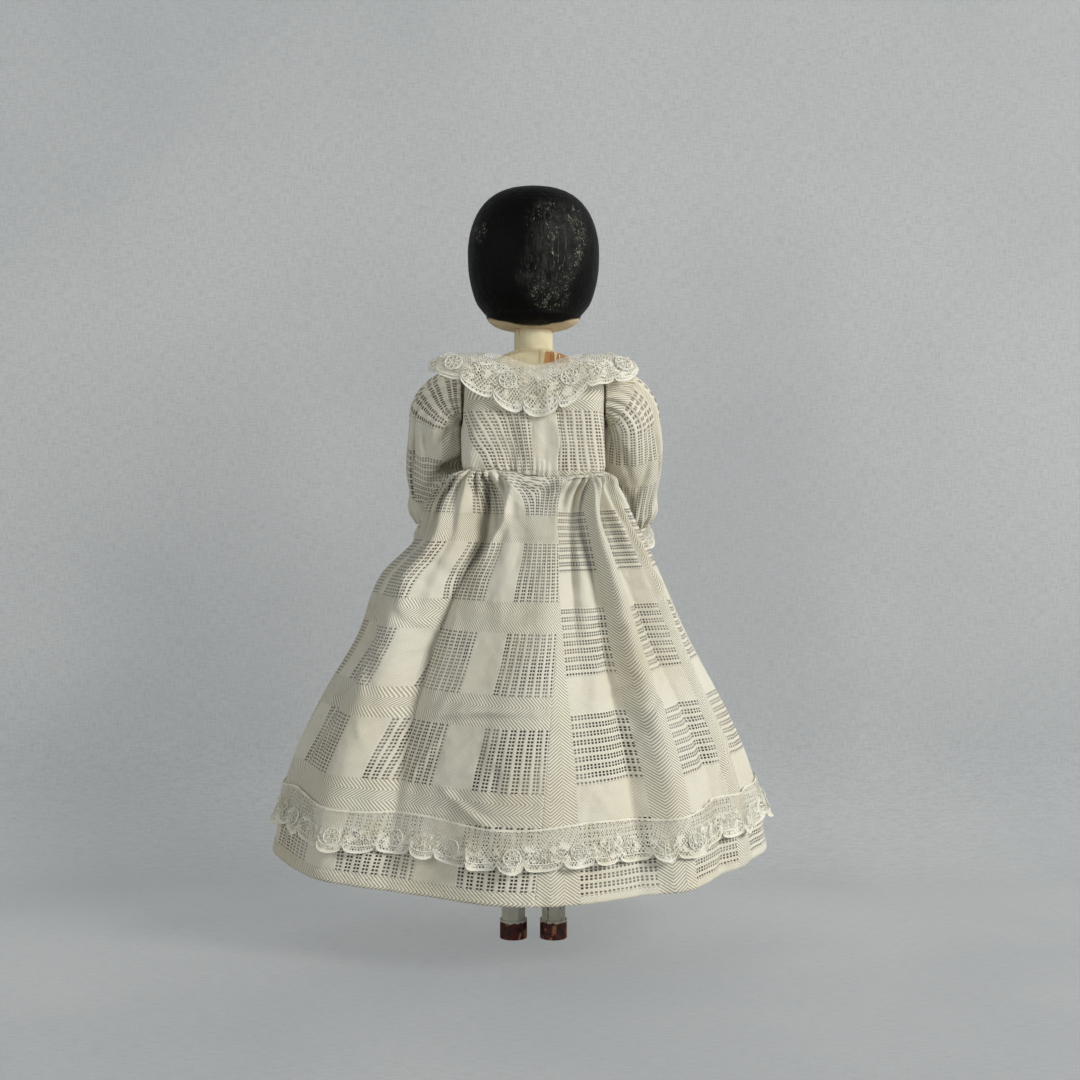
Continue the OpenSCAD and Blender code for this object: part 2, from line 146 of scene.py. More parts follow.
class Finish(Work):
    """The material of one kind of surface, read from Object coordinates or from a cut's UV map."""

    def __init__(self, name):
        self.material = bpy.data.materials.new(name)
        self.material.use_nodes = True
        super().__init__(self.material.node_tree)
        self.tree.nodes.clear()

    def place(self):
        """Object coordinates as three numbers, with x from the doll's middle line."""
        self.spot = self.add("ShaderNodeTexCoord", out="Object")
        x, y, z = self.add("ShaderNodeSeparateXYZ", None, {0: self.spot}, (0, 1, 2))
        return x - doll_x, y, z

    def cut(self):
        """A cloth piece's own flat coordinates, in millimetres."""
        flat = self.add("ShaderNodeUVMap", {"uv_map": "cut"})
        self.spot = self.add("ShaderNodeVectorMath", {"operation": "SCALE"},
                             {0: flat, "Scale": 1000.0})
        return self.add("ShaderNodeSeparateXYZ", None, {0: self.spot}, (0, 1))

    def noise(self, scale, detail=3.0, rough=0.55, stretch=(1, 1, 1), shift=(0, 0, 0)):
        """Seeded noise from 0 to 1, scale in cells per unit of the coordinates read."""
        spot = self.add("ShaderNodeMapping", None,
                        {"Vector": self.spot, "Location": shift, "Scale": stretch})
        return self.add("ShaderNodeTexNoise", {"noise_dimensions": "3D"},
                        {"Vector": spot, "Scale": scale, "Detail": detail, "Roughness": rough})

    def mix(self, share, first, second):
        """A colour between two, or one laid over the other where share is 1."""
        return self.add("ShaderNodeMix", {"data_type": "RGBA"},
                        {0: share, 6: first, 7: second}, 2)

    def coats(self, tint, *coats):
        """Lays one coat of paint or wear after another over tint, each by its share."""
        for share, paint in coats:
            tint = self.mix(share, tint, paint)
        return tint

    def skin(self, tint, rough, height, depth, strength, **fixed):
        """One principled surface, with a bump from height."""
        bump = self.add("ShaderNodeBump", None, {
            "Height": height, "Distance": depth, "Strength": strength})
        return self.add("ShaderNodeBsdfPrincipled", None, {
            "Base Color": tint, "Roughness": rough, "Normal": bump, **fixed})

    def end(self, skin):
        self.add("ShaderNodeOutputMaterial", None, {"Surface": skin})
        return self.material

    def surface(self, *look, **fixed):
        """Ends the finish in one principled surface."""
        return self.end(self.skin(*look, **fixed))


def finish_nodes(material, *names):
    """Gives carried-over solids their finish."""
    for name in names:
        slots = nodes[name].data.materials
        slots.clear()
        slots.append(material)


cream_paint = colour(207, 199, 167)
aged_paint = colour(178, 163, 124)
bare_lime = colour(176, 130, 84)
rubbed_lime = colour(150, 92, 52)
hair_black = colour(4, 4, 4)


def aged_cream(work, lift=1.0):
    """Cream oil paint on gesso, yellowed in places and cracked along the grain."""
    fog = work.noise(60, 3)
    grain = work.noise(900, 2, 0.6, (1, 1, 0.05))
    crack = grain.ramp(0.665, 0.7) * work.noise(90, 2).ramp(0.45, 0.62) * lift
    tint = work.coats(cream_paint, (fog.ramp(0.42, 0.68), aged_paint),
                      (crack, colour(78, 62, 44)))
    return tint, grain, crack


def head_finish():
    work = Finish("painted_head_and_shoulders")
    x, y, z = work.place()
    tint, grain, crack = aged_cream(work)
    front = y.ramp(-0.002, 0.004)
    side = abs(x)

    # pink breath of colour on jaw and nape
    jaw = z.ramp(0.2405, 0.2425) * z.ramp(0.262, 0.246)

    # face: cheeks, eyes, brows and mouth, painted with a small brush
    cheek = distance(side - cheek_x, z - cheek_z)
    eye = distance((side - eye_x) / 1.7, z - eye_z)
    pupil = distance(side - eye_x, z - eye_z)
    arch = abs(z - brow_z + (side - eye_x) ** 2 * 60.0)
    brow = arch.ramp(0.0006, 0.0003) * abs(side - eye_x).ramp(0.0042, 0.0036) * front
    mouth = distance(x / 2.4, z - mouth_z)
    tint = work.coats(
        tint,
        (jaw * 0.4, colour(206, 168, 140)),
        (cheek.ramp(0.0062, 0.001) * front * 0.6, colour(205, 106, 92)),
        (eye.ramp(0.0021, 0.0018) * front, colour(48, 36, 30)),
        (eye.ramp(0.0017, 0.0014) * front, colour(226, 224, 212)),
        (pupil.ramp(0.0015, 0.0012) * front, colour(32, 30, 34)),
        (brow, colour(52, 38, 28)),
        (mouth.ramp(0.0016, 0.0012) * front, colour(152, 44, 38)),
    )

    # hair: a close black cap from the nape to a round hairline over the face
    oval = distance(x / 0.84, z - face_z)
    curl = abs((x * 420.0).sine()) * 0.0012
    face = (oval + curl).ramp(hairline_r, hairline_r - 0.0006) * front
    edge = work.noise(160, 2) * 0.0012 + x * x * 12.5
    cap = (z - edge).ramp(nape_z, nape_z + 0.0005) * (1.0 - face)

    # scuffs: paint chipped in a few places; and at the back on the right, where the light falls,
    # grey that is partly rubbed wear and partly a painted sheen
    def back_patch(at_x, at_z, half_x, half_z, slant=0.0):
        across = (x - at_x + (z - at_z) * slant) / half_x
        up = (z - at_z) / half_z
        return (across ** 2 + up ** 2).ramp(1.0, 0.1) * y.ramp(-0.005, -0.012)

    grit = work.noise(2300, 1, 0.6).ramp(0.58, 0.66) * work.noise(380, 3, 0.7).ramp(0.47, 0.62)
    nick = work.noise(1500, 2, 0.6, (1, 1, 0.35)).ramp(0.6, 0.68)
    nick = nick * work.noise(200, 2).ramp(0.46, 0.6)
    chipped = back_patch(-0.0208, 0.279, 0.0034, 0.0056) * 0.9
    chipped = chipped.most(back_patch(0.0146, 0.2635, 0.0036, 0.0115, -0.4) * 0.9)
    chipped = chipped.most(back_patch(0.0062, 0.2525, 0.0105, 0.0060) * 0.75)
    chipped = chipped.most(back_patch(0.0172, 0.281, 0.0044, 0.012, 0.2) * 0.6)
    rubbed_and_sheen = back_patch(0.0095, 0.277, 0.0145, 0.0185, 0.1).most(back_patch(0.004, 0.262, 0.013, 0.014) * 0.8)
    brush = work.noise(330, 3, 0.65, (1.6, 1.6, 0.16)).ramp(0.45, 0.7)
    scratch = work.noise(800, 2, 0.5, (1.8, 1.8, 0.08)).ramp(0.6, 0.68) * rubbed_and_sheen
    smudge_and_sheen = work.noise(150, 5, 0.75).ramp(0.42, 0.72) * rubbed_and_sheen
    scuff = (grit * chipped.ramp(0.03, 0.6) * 0.8).most(nick * rubbed_and_sheen * 0.4) * cap
    # grey: a lighter sheen painted over the right of the hair, mixed with rubbed wear and scratches
    grey_wear_and_sheen = smudge_and_sheen * 0.09 + scratch * 0.1 + brush * rubbed_and_sheen * 0.05 + chipped * 0.02
    hair = work.mix(grey_wear_and_sheen, hair_black, colour(140, 142, 134))

    # paint rubbed off to the wood in upright streaks behind the right shoulder
    streak = work.noise(700, 1, 0.4, (1, 0.1, 0.06)).ramp(0.47, 0.5)
    patch = abs(x - streak_x).ramp(0.0082, 0.0066)
    patch = patch * z.ramp(0.2275, 0.2285) * z.ramp(0.2338, 0.2326) * y.ramp(0.0, -0.003)
    bare = (patch * streak).most(z.ramp(0.196, 0.19))
    wood = work.mix(grain.ramp(0.35, 0.65), bare_lime, rubbed_lime)
    tint = work.coats(tint, (cap, hair), (scuff, colour(196, 193, 172)), (bare, wood))

    rough = 0.62 - cap * 0.16 + scuff * 0.3 + bare * 0.15 + work.noise(300, 2) * 0.14
    strokes = work.noise(150, 5, 0.7) * 2.0 + brush * 0.35 + 0.4
    relief = grain * 0.2 + crack * -0.7 + cap * strokes - scuff * 0.4 - bare * 0.5
    return work.surface(tint, rough, relief, 0.0006, 0.6, **{
        "Specular IOR Level": 0.09, "Coat Weight": (1.0 - cap) * 0.14, "Coat Roughness": 0.35})


finish_nodes(head_finish(), "head_and_torso")


# ---- Nose ----
# A small limewood wedge, pressed into a slot cut in the face. It is whittled to shape and
# painted over with the face, a little pinker at the tip.

def nose_finish():
    work = Finish("painted_nose")
    y = work.place()[1]
    tint, grain, crack = aged_cream(work, 0.4)
    tint = work.mix(y.ramp(0.024, 0.03) * 0.25, tint, colour(198, 142, 118))
    return work.surface(tint, 0.55 + grain * 0.15, grain - crack, 0.0002, 0.3)


finish_nodes(nose_finish(), "nose_wedge")


# ---- Dowels and pegs ----
# Turned hardwood dowels across the shoulders and hips, and thinner pegs through the elbows
# and knees. They are left bare, and the limbs turn on them.

def peg_finish():
    work = Finish("bare_peg_wood")
    work.place()
    grain = work.noise(800, 3, 0.6, (0.06, 1, 1))
    ring = work.noise(240, 1, 0.4, (0.02, 1, 1))
    tint = work.coats(colour(196, 152, 98), (grain.ramp(0.35, 0.7), colour(146, 98, 56)),
                      (ring.ramp(0.55, 0.7) * 0.5, colour(118, 76, 44)))
    return work.surface(tint, 0.55 + grain * 0.2, grain, 0.0002, 0.4)


finish_nodes(peg_finish(), "shoulder_dowel", "hip_dowel", "left_elbow_peg", "right_elbow_peg",
             "left_knee_peg", "right_knee_peg")


# ---- Arms and thighs ----
# Whittled sticks of lime with a fork or a tongue at each joint, and flat hands. They are
# painted cream, and the paint has worn off to the wood in patches.

def limb_finish():
    work = Finish("whittled_limb")
    work.place()
    tint, grain, crack = aged_cream(work)
    wear = (work.noise(140, 4, 0.65) + grain * 0.25).ramp(0.69, 0.75)
    tint = work.mix(wear, tint, work.mix(grain.ramp(0.3, 0.7), bare_lime, rubbed_lime))
    rough = 0.5 + wear * 0.25 + work.noise(240, 2) * 0.12
    return work.surface(tint, rough, grain * 0.5 - crack - wear * 0.6, 0.0004, 0.5)


finish_nodes(limb_finish(), "left_upper_arm", "right_upper_arm", "left_forearm",
             "right_forearm", "left_thigh", "right_thigh")


# ---- Lower legs and shoes ----
# Eight-sided whittled shins painted white, with the shoes carved from the same stick and
# painted dark red. Heels and toes are knocked back to the wood.

shoe_top = 0.0064


def shin_finish():
    work = Finish("painted_shin_and_shoe")
    z = work.place()[2]
    grain = work.noise(1000, 2, 0.6, (1, 1, 0.05))
    crack = grain.ramp(0.6, 0.64) * work.noise(130, 2).ramp(0.4, 0.55)
    ragged = z + work.noise(420, 2) * 0.0026 - 0.0013
    shoe = ragged.ramp(shoe_top + 0.0002, shoe_top - 0.0002)
    chip = (work.noise(430, 3, 0.6, (1, 1, 0.5)) + ragged.ramp(0.0052, 0.0006) * 0.08)
    chip = chip.ramp(0.6, 0.63) * shoe
    tint = work.coats(
        colour(228, 226, 212),
        (work.noise(90, 3).ramp(0.4, 0.7), colour(196, 188, 160)),
        (crack, colour(58, 48, 40)),
        (shoe, work.mix(work.noise(380, 3).ramp(0.4, 0.66), colour(92, 34, 26),
                        colour(48, 20, 18))),
        (chip, work.mix(grain.ramp(0.4, 0.6), colour(170, 116, 84), bare_lime)),
    )
    rough = 0.5 + chip * 0.25 + crack * 0.2
    relief = grain * 0.4 - crack * 1.2 - chip * 0.8 + shoe * 0.3
    return work.surface(tint, rough, relief, 0.0005, 0.6)


finish_nodes(shin_finish(), "left_lower_leg", "right_lower_leg")


# ---- Bodice ----
# A plain high-waisted bodice in three pieces of woven check cotton: front, and two backs
# that lap at the middle, the left over the right. The cloth has squares of openwork
# between bands of herringbone.

shoulder_z = 0.217
armhole_r = 0.010
neck_up = 0.0132
bodice_a = 0.0282
bodice_b = 0.0167
bodice_l = 0.0302
lap = 0.0095
cloth_t = 0.0004
girth_share = 0.93

# Height over the shoulder, half width and half depth of the bodice, from the neck down.
bodice_rings = np.array([
    (0.0132, 0.02087, 0.0147), (0.0116, 0.0236, 0.0153), (0.01005, 0.0256, 0.0157),
    (0.0094, 0.0262, 0.0158), (0.0075, 0.0273, 0.0161), (0.004, 0.028, 0.0164),
    (0.0, 0.0282, 0.0165), (-0.0035, 0.0282, 0.0167), (-0.007, 0.0282, 0.0167),
    (-0.0094, 0.0282, 0.0167), (-0.01005, 0.0282, 0.0167), (-0.0199, 0.0282, 0.0167),
    (-0.0302, 0.0282, 0.0167)])

check_w, check_h = 40.0, 35.5
window_w, window_h = 26.2, 23.6
cord_pitch, hole_pitch = 3.05, 1.33
first_hole, second_hole, cord_at = 0.8, 1.9, 2.85
herring_row, rib_pitch, fine_pitch = 4.0, 1.25, 1.0


def ease_in(x):
    t = np.clip(x, 0, 1)
    return t * t * (3 - 2 * t)


def bell(x, middle, half):
    """1 at the middle, fading away to both sides."""
    return np.exp(-((x - middle) / half) ** 2)


def apart(turn, middle):
    """Degrees by which turn is past a middle given in degrees, from -180 to 180."""
    return (np.degrees(turn) - middle + 180) % 360 - 180


def oblong(turn, a, b, square):
    """Radius of a rounded oblong with half sizes a and b, in the direction of turn."""
    wide, deep = np.abs(np.cos(turn) / a), np.abs(np.sin(turn) / b)
    return (wide ** square + deep ** square) ** (-1 / square)


def smooth(stations, x):
    """A smooth value through the stations' places and values."""
    place, value = np.array(stations, float).T
    slope = np.empty_like(value)
    slope[1:-1] = (value[2:] - value[:-2]) / (place[2:] - place[:-2])
    slope[0] = (value[1] - value[0]) / (place[1] - place[0])
    slope[-1] = (value[-1] - value[-2]) / (place[-1] - place[-2])
    x = np.clip(x, place[0], place[-1])
    i = np.clip(np.searchsorted(place, x, side="right") - 1, 0, len(place) - 2)
    w = place[i + 1] - place[i]
    t = (x - place[i]) / w
    return ((2 * t ** 3 - 3 * t ** 2 + 1) * value[i] + (t ** 3 - 2 * t ** 2 + t) * w * slope[i]
            + (3 * t ** 2 - 2 * t ** 3) * value[i + 1] + (t ** 3 - t ** 2) * w * slope[i + 1])


def cloth_mesh(name, points, cut, ring=False, flip=False):
    """A cloth piece from a grid of points, rows from its upper edge, and its flat places."""
    rows, cols = points.shape[:2]
    across = cols if ring else cols - 1
    r, c = np.meshgrid(np.arange(rows - 1), np.arange(across), indexing="ij")
    nearer = r * cols + c
    further = r * cols + (c + 1) % cols
    corners = np.stack([nearer, nearer + cols, further + cols, further], -1).reshape(-1, 4)
    rc = np.stack([r, r + 1, r + 1, r], -1).reshape(-1, 4)
    cc = np.stack([c, c, c + 1, c + 1], -1).reshape(-1, 4)
    if flip:
        corners, rc, cc = corners[:, ::-1], rc[:, ::-1], cc[:, ::-1]
    mesh = bpy.data.meshes.new(name)
    mesh.from_pydata(points.reshape(-1, 3).tolist(), [], corners.tolist())
    layer = mesh.uv_layers.new(name="cut")
    layer.data.foreach_set("uv", cut[rc.ravel(), cc.ravel()].astype(np.float32).ravel())
    mesh.shade_smooth()
    piece = bpy.data.objects.new(name, mesh)
    bpy.context.scene.collection.objects.link(piece)
    return piece


def sew_on(piece, cloth, node, body, **sheet):
    """Gives a piece of the dress its cloth and thickness, and its place on the doll."""
    piece.data.materials.append(cloth)
    wall = piece.modifiers.new("thickness", "SOLIDIFY")
    wall.thickness = cloth_t
    wall.offset = -1
    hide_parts(node)
    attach(piece, body)


def ripple(x, y, seed):
    """Smooth seeded wandering between about -1 and 1, for creases in cloth."""
    waves = 7
    total = np.zeros(np.broadcast(x, y).shape)
    generator = np.random.default_rng(seed)
    for _ in range(waves):
        angle = generator.uniform(0, math.tau)
        pace = generator.uniform(0.6, 1.8)
        phase = generator.uniform(0, math.tau)
        total = total + np.sin(pace * (x * math.cos(angle) + y * math.sin(angle)) + phase)
    return total / waves ** 0.5


def check_cotton(name, behind):
    """The dress cotton; behind is the painted shade that its holes show, standing for the dark
    inside that they look out on.
    """
    work = Finish(name)
    u, v = work.cut()
    wander = work.noise(0.05, 2) * 0.8
    p = ((u + wander) / check_w).share() * check_w
    q = ((v + wander) / check_h).share() * check_h
    in_row = q.ramp(window_h, window_h - 0.2) * q.ramp(-0.1, 0.2)
    in_column = p.ramp(window_w, window_w - 0.3)
    window = in_row * in_column * p.ramp(0.0, 0.3)

    # openwork: holes in pairs between solid cords, painted with the shade of the inside behind
    # them, darker in some squares than others
    column = (p / cord_pitch).share() * cord_pitch
    line = abs(column - first_hole).least(abs(column - second_hole))
    rung = abs((q / hole_pitch).share() - 0.5) * hole_pitch
    hole = line.ramp(0.44, 0.3) * rung.ramp(0.46, 0.3) * window
    cord = abs(column - cord_at).ramp(0.55, 0.1) * window
    hole_shade_wander = work.noise(0.05, 2, 0.5, (1, 1, 1), (3.1, 1.7, 0.4)).ramp(0.38, 0.6)

    # herringbone: three rows of slanting ribs, turned about from row to row
    row = ((q - (window_h - 0.1)) / herring_row).whole()
    turn = (row / 2.0).share() * 4.0 - 1.0
    rib = ((p + q * turn) / rib_pitch).share()
    herring = (abs(rib - 0.5) * 2.0).ramp(0.38, 0.66) * (1.0 - in_row)

    # closer slanting ribs of the plain squares between the windows
    plain = in_row * (1.0 - in_column)
    rib = ((p + q * 0.8) / fine_pitch).share()
    fine = (abs(rib - 0.5) * 2.0).ramp(0.25, 0.75) * plain

    # soft dents of a washed and worn cloth
    soft = work.noise(0.07, 2, 0.5) + work.noise(0.2, 2, 0.5, (1, 1, 1), (7.3, 2.9, 1.1)) * 0.25

    weave = work.noise(2.2, 2, 0.7)
    age = work.noise(0.022, 3, 0.6)
    # the holes get a painted shade, the colour given as behind
    tint = work.coats(
        colour(236, 233, 220),
        (age.ramp(0.38, 0.78), colour(226, 218, 194)),
        (herring * 0.85, colour(158, 151, 128)),
        (plain * 0.2 + fine * 0.34 + weave.ramp(0.4, 0.75) * 0.14, colour(176, 170, 150)),
        (window * 0.34, colour(178, 170, 150)),
        (hole * (hole_shade_wander * 0.3 + 0.7), behind),
    )
    relief = herring * -0.6 + cord * 0.4 - hole * 0.8 + weave * 0.25 + fine * -0.2
    return work.surface(tint, 0.82, relief + soft * 6.5, 0.0004, 0.75, **{
        "Sheen Weight": 0.1, "Sheen Roughness": 0.6, "Specular IOR Level": 0.25})


# holes painted in shade: near black for the dark inside of the skirt, and a shaded brown for the
# body behind the bodice
cotton = check_cotton("dress_check_cotton_hole_shade", colour(44, 38, 34))
bodice_cotton_hole_shade = check_cotton("bodice_check_cotton_hole_shade", colour(94, 80, 68))


def back_dip(turn):
    """1 at the middle of the back, fading towards the shoulders."""
    return bell(apart(turn, 270), 4, 42)


def waist_sag(x, y):
    """The waist seam hangs lowest behind, beside the lapped edge, and wanders a little."""
    sag = 0.0034 * bell(x, 0.0085, 0.019) * ease_in(-y / 0.012)
    return sag + 0.0002 * np.sin(x * 800 + y * 500)


def side_turn(z, a, b):
    """Direction of the armhole's edge, or of the side seam above and below it."""
    y = np.sqrt(np.maximum(armhole_r ** 2 - z ** 2, 0))
    y = np.maximum(y, 0.00006)
    return np.arctan2(y, a * (1 - (y / b) ** 5) ** 0.2)


def bodice_piece(name, start, stop, cols, lifted, cut_x, crease, seed):
    """start and stop give the direction of the two upright edges on each ring."""
    heights = np.concatenate([
        np.linspace(neck_up, armhole_r + 0.0001, 6),
        np.linspace(armhole_r - 0.00001, 0.00001 - armhole_r, 36),
        np.linspace(-armhole_r - 0.0001, -bodice_l - 0.0001, 28)])[:, None]
    a = smooth(bodice_rings[::-1, :2], heights)
    b = smooth(bodice_rings[::-1, ::2], heights)
    side = side_turn(heights, a, b)
    taper = np.minimum(1, (a - 0.004) / (bodice_a - 0.008))
    first, last = start(side, b, taper), stop(side, b, taper)
    turn = first + (last - first) * np.linspace(0, 1, cols)[None, :]
    r = oblong(turn, a, b, 5)
    up = (heights + bodice_l) / (bodice_l + armhole_r)
    lift = 0.0014 * ease_in((r * np.cos(turn) + 0.009) / 0.006) if lifted else 0 * turn
    fold = ripple(turn * 6.5, heights * 180, seed) * crease
    fold = fold + ripple(turn * 14, heights * 420, seed + 50) * crease * 0.45
    # drag lines from under the arms down to the waist beside the lap
    drag = apart(turn, 270) + heights * 1500 * np.sign(np.cos(turn))
    fold = fold + 0.0003 * np.sin(drag / 5.2 + 1.0) * bell(heights, -0.012, 0.012)
    gather = np.sin(turn * 46 + 2 * np.sin(turn * 9)) * 0.0004 * ease_in((-heights - 0.022) / 0.008)
    tuck = -0.0005 * ease_in((-heights - 0.0285) / 0.0015)
    r = r + lift + np.clip(fold, -0.0012, 0.0007) + gather + tuck - 0.0001
    z = shoulder_z + heights + lift * 0.9 * np.clip(up, 0, 1.2) ** 3
    z = z - 0.0066 * back_dip(turn) * np.clip((heights + 0.008) / 0.0212, 0, 1)
    sag = waist_sag(r * np.cos(turn), r * np.sin(turn))
    z = z - sag * np.clip(-heights / bodice_l, 0, 1) ** 2
    points = np.stack([doll_x + r * np.cos(turn), r * np.sin(turn), z + 0 * turn], -1)
    flat_x = (turn + math.pi / 2) * (bodice_a * girth_share) + cut_x
    pull = np.clip(-np.cos(turn), 0, 1) * np.clip(-np.sin(turn) * 3, 0, 1)
    flat_x = flat_x + (z - 0.197) * (0.12 + 0.4 * pull)
    return cloth_mesh(name, points, np.stack([flat_x, 0.2445 - z], -1))


back_girth = math.tau * bodice_a * girth_share
for node, start, stop, cols, cut_x, crease, seed, width in (
    ("bodice_front", lambda side, b, taper: side, lambda side, b, taper: math.pi - side,
     110, 0.013, 0.0005, 11, 0.066),
    ("bodice_left_back", lambda side, b, taper: math.pi + side,
     lambda side, b, taper: 1.5 * math.pi + np.arctan(lap / b * taper),
     80, 0.0265 - back_girth, 0.0006, 12, 0.046),
    ("bodice_right_back", lambda side, b, taper: 1.5 * math.pi - np.arctan(0.06 * lap / b),
     lambda side, b, taper: 2 * math.pi - side,
     60, -0.012 - back_girth, 0.0005, 13, 0.034),
):
    piece = bodice_piece(node + "_cloth", start, stop, cols, node == "bodice_left_back", cut_x,
                         crease, seed)
    sew_on(piece, bodice_cotton_hole_shade, node, "trunk", flat=(width, 0.046), held="hung",
           rests_on=["head_and_torso"])


# ---- Sleeves ----
# Full sleeves of the same cotton, gathered into the armhole and drawn in above the cuff.
# Each turns with its arm.

sleeve_x = 0.0383
armhole_x = 0.0285
sleeve_r = 0.0118
sleeve_l = 0.058
cuff_r = 0.008
arm_tilt = math.radians(30)


def in_arm(points, side):
    """Points of a right arm hanging from its shoulder axis, swung forward and put in place."""
    x, y, z = points[..., 0], points[..., 1], points[..., 2]
    swung_y = y * math.cos(arm_tilt) - z * math.sin(arm_tilt)
    swung_z = y * math.sin(arm_tilt) + z * math.cos(arm_tilt)
    return np.stack([doll_x + side * x, swung_y, shoulder_z + swung_z], -1)


# Creases of each sleeve: its share of the length and its place round the arm in degrees (180
# inside, 270 at the back), its half size both ways, its height, and its lean.
left_creases = [
    (0.47, 228, 0.06, 24, -0.0100, 80), (0.35, 232, 0.07, 30, 0.0012, 60),
    (0.6, 236, 0.06, 36, 0.0018, 60), (0.5, 322, 0.9, 5, -0.0026, 10),
    (0.2, 246, 0.13, 8, -0.0022, 120), (0.3, 284, 0.16, 8, -0.0016, -60),
    (0.72, 262, 0.16, 9, -0.0022, 90), (0.84, 292, 0.12, 9, -0.0016, -80),
    (0.56, 262, 0.1, 13, -0.0018, 140), (0.5, 120, 0.08, 26, -0.0022, 40),
]
right_creases = [
    (0.5, 332, 0.9, 5, -0.0024, -12), (0.22, 224, 0.16, 9, -0.0024, 80),
    (0.34, 250, 0.2, 7, -0.0014, 50), (0.5, 292, 0.14, 8, -0.0016, -90),
    (0.66, 226, 0.12, 12, -0.0018, -110), (0.78, 262, 0.12, 9, -0.0016, 80),
    (0.86, 300, 0.1, 8, -0.0016, -60), (0.55, 110, 0.08, 26, -0.0020, 40),
]


def sleeve_points(side, seed, creases):
    """The cloth of a sleeve: s runs down it from the armhole, and t round the arm."""
    s = np.linspace(0, 1, 150)[:, None]
    t = np.linspace(0, math.tau, 200, endpoint=False)[None, :]
    outline = [(0, armhole_r), (0.17, armhole_r * 1.06), (0.38, sleeve_r * 0.965),
               (0.655, sleeve_r), (0.88, sleeve_r * 0.93), (1, cuff_r)]
    r_out = smooth(outline, s)
    bend = 0.19
    a = np.minimum(s / bend, 1) * math.pi / 2
    swing = armhole_r * 0.1
    hang = ease_in((s - 0.52) / 0.48)
    mid_x = (armhole_x + (swing + r_out) * np.sin(a)) * (1 - hang) + (sleeve_x + 0.002) * hang
    mid_z = (swing + r_out) * np.cos(a) - armhole_r - swing - np.maximum(s - bend, 0) * sleeve_l
    full = np.sin(math.pi * np.clip(s, 0, 1)) ** 0.5
    head = 0.0006 * np.sin(20 * t + 2 * np.sin(3 * t)) * np.clip(1 - s / 0.34, 0, 1) ** 1.2
    wrist = 0.0012 * np.sin(17 * t + 1.6 * np.sin(4 * t)) * np.clip((s - 0.74) / 0.26, 0, 1) ** 1.1
    crumple = 0.0013 * ripple(np.cos(t) * 2.4 + s * 2, np.sin(t) * 2.4 + s * 7.0, seed) * full
    small = ripple(np.cos(t) * 6 + s * 4, np.sin(t) * 6 + s * 14, seed + 9)
    crumple = crumple + 0.0004 * small * full
    for at_s, at_t, half_s, half_t, height, lean in creases:
        off = apart(t, at_t + lean * (s - at_s))
        crumple = crumple + height * full * bell(s, at_s, half_s) * bell(off, 0, half_t)
    # the sleeve lies against the bodice, and is fullest behind the arm
    inner = 0.0024 * bell(apart(t, 210), 0, 34) + 0.0034 * bell(apart(t, 250), 0, 42)
    inner = inner * ease_in(s / 0.14) * ease_in((0.85 - s) / 0.35)
    outer = 0.0013 * np.clip(np.cos(t), 0, 1) * bell(s, 0.9, 0.09)
    r = r_out + np.minimum(head + wrist + crumple, 0.0014) + inner + outer - 0.0006 * full
    points = np.stack([mid_x + r * np.cos(t) * np.sin(a), r * np.sin(t) + 0 * s,
                       mid_z + r * np.cos(t) * np.cos(a)], -1)
    points[..., 0] = np.maximum(points[..., 0], armhole_x + 0.00003)
    return in_arm(points, side)


around, down = np.meshgrid(np.linspace(0, math.tau, 201) * 0.0142, np.linspace(0, 1, 150) * 0.066)
# The left sleeve is cut across the cloth, the right one along it.
for side, side_name, seed, creases, cut in (
    (-1, "left", 21, left_creases, np.stack([down + 0.0145, around + 0.0083], -1)),
    (1, "right", 22, right_creases, np.stack([around - 0.0158, down - 0.0053], -1)),
):
    sleeve = cloth_mesh(side_name + "_sleeve_cloth", sleeve_points(side, seed, creases), cut,
                        ring=True, flip=side < 0)
    sew_on(sleeve, bodice_cotton_hole_shade, side_name + "_sleeve", side_name + "_arm", flat=(0.082, 0.062),
           held="gathered", rests_on=[side_name + "_upper_arm"])


# ---- Skirt ----
# Two wide panels of the check cotton, seamed at the middle of the front and back and
# gathered into the waist. In the left panel the openwork runs upright, in the right across.

seam_z = 0.1865
reach_left = 0.1038
reach_right = 0.0914
reach_depth = 0.067
side_len = 0.1486
mid_len = 0.1576
skirt_cut = 0.165
seam_lap = math.radians(0.3)
left_outline = [(0, 0), (0.08, 0.17), (0.18, 0.25), (0.28, 0.44), (0.44, 0.55), (0.6, 0.73),
                (0.8, 0.915), (1, 1)]
right_outline = [(0, 0), (0.08, 0.12), (0.28, 0.375), (0.44, 0.535), (0.69, 0.825),
                 (0.85, 0.95), (1, 1)]
mid_outline = [(0, 0), (0.14, 0.08), (0.3, 0.3), (0.6, 0.72), (1, 1)]

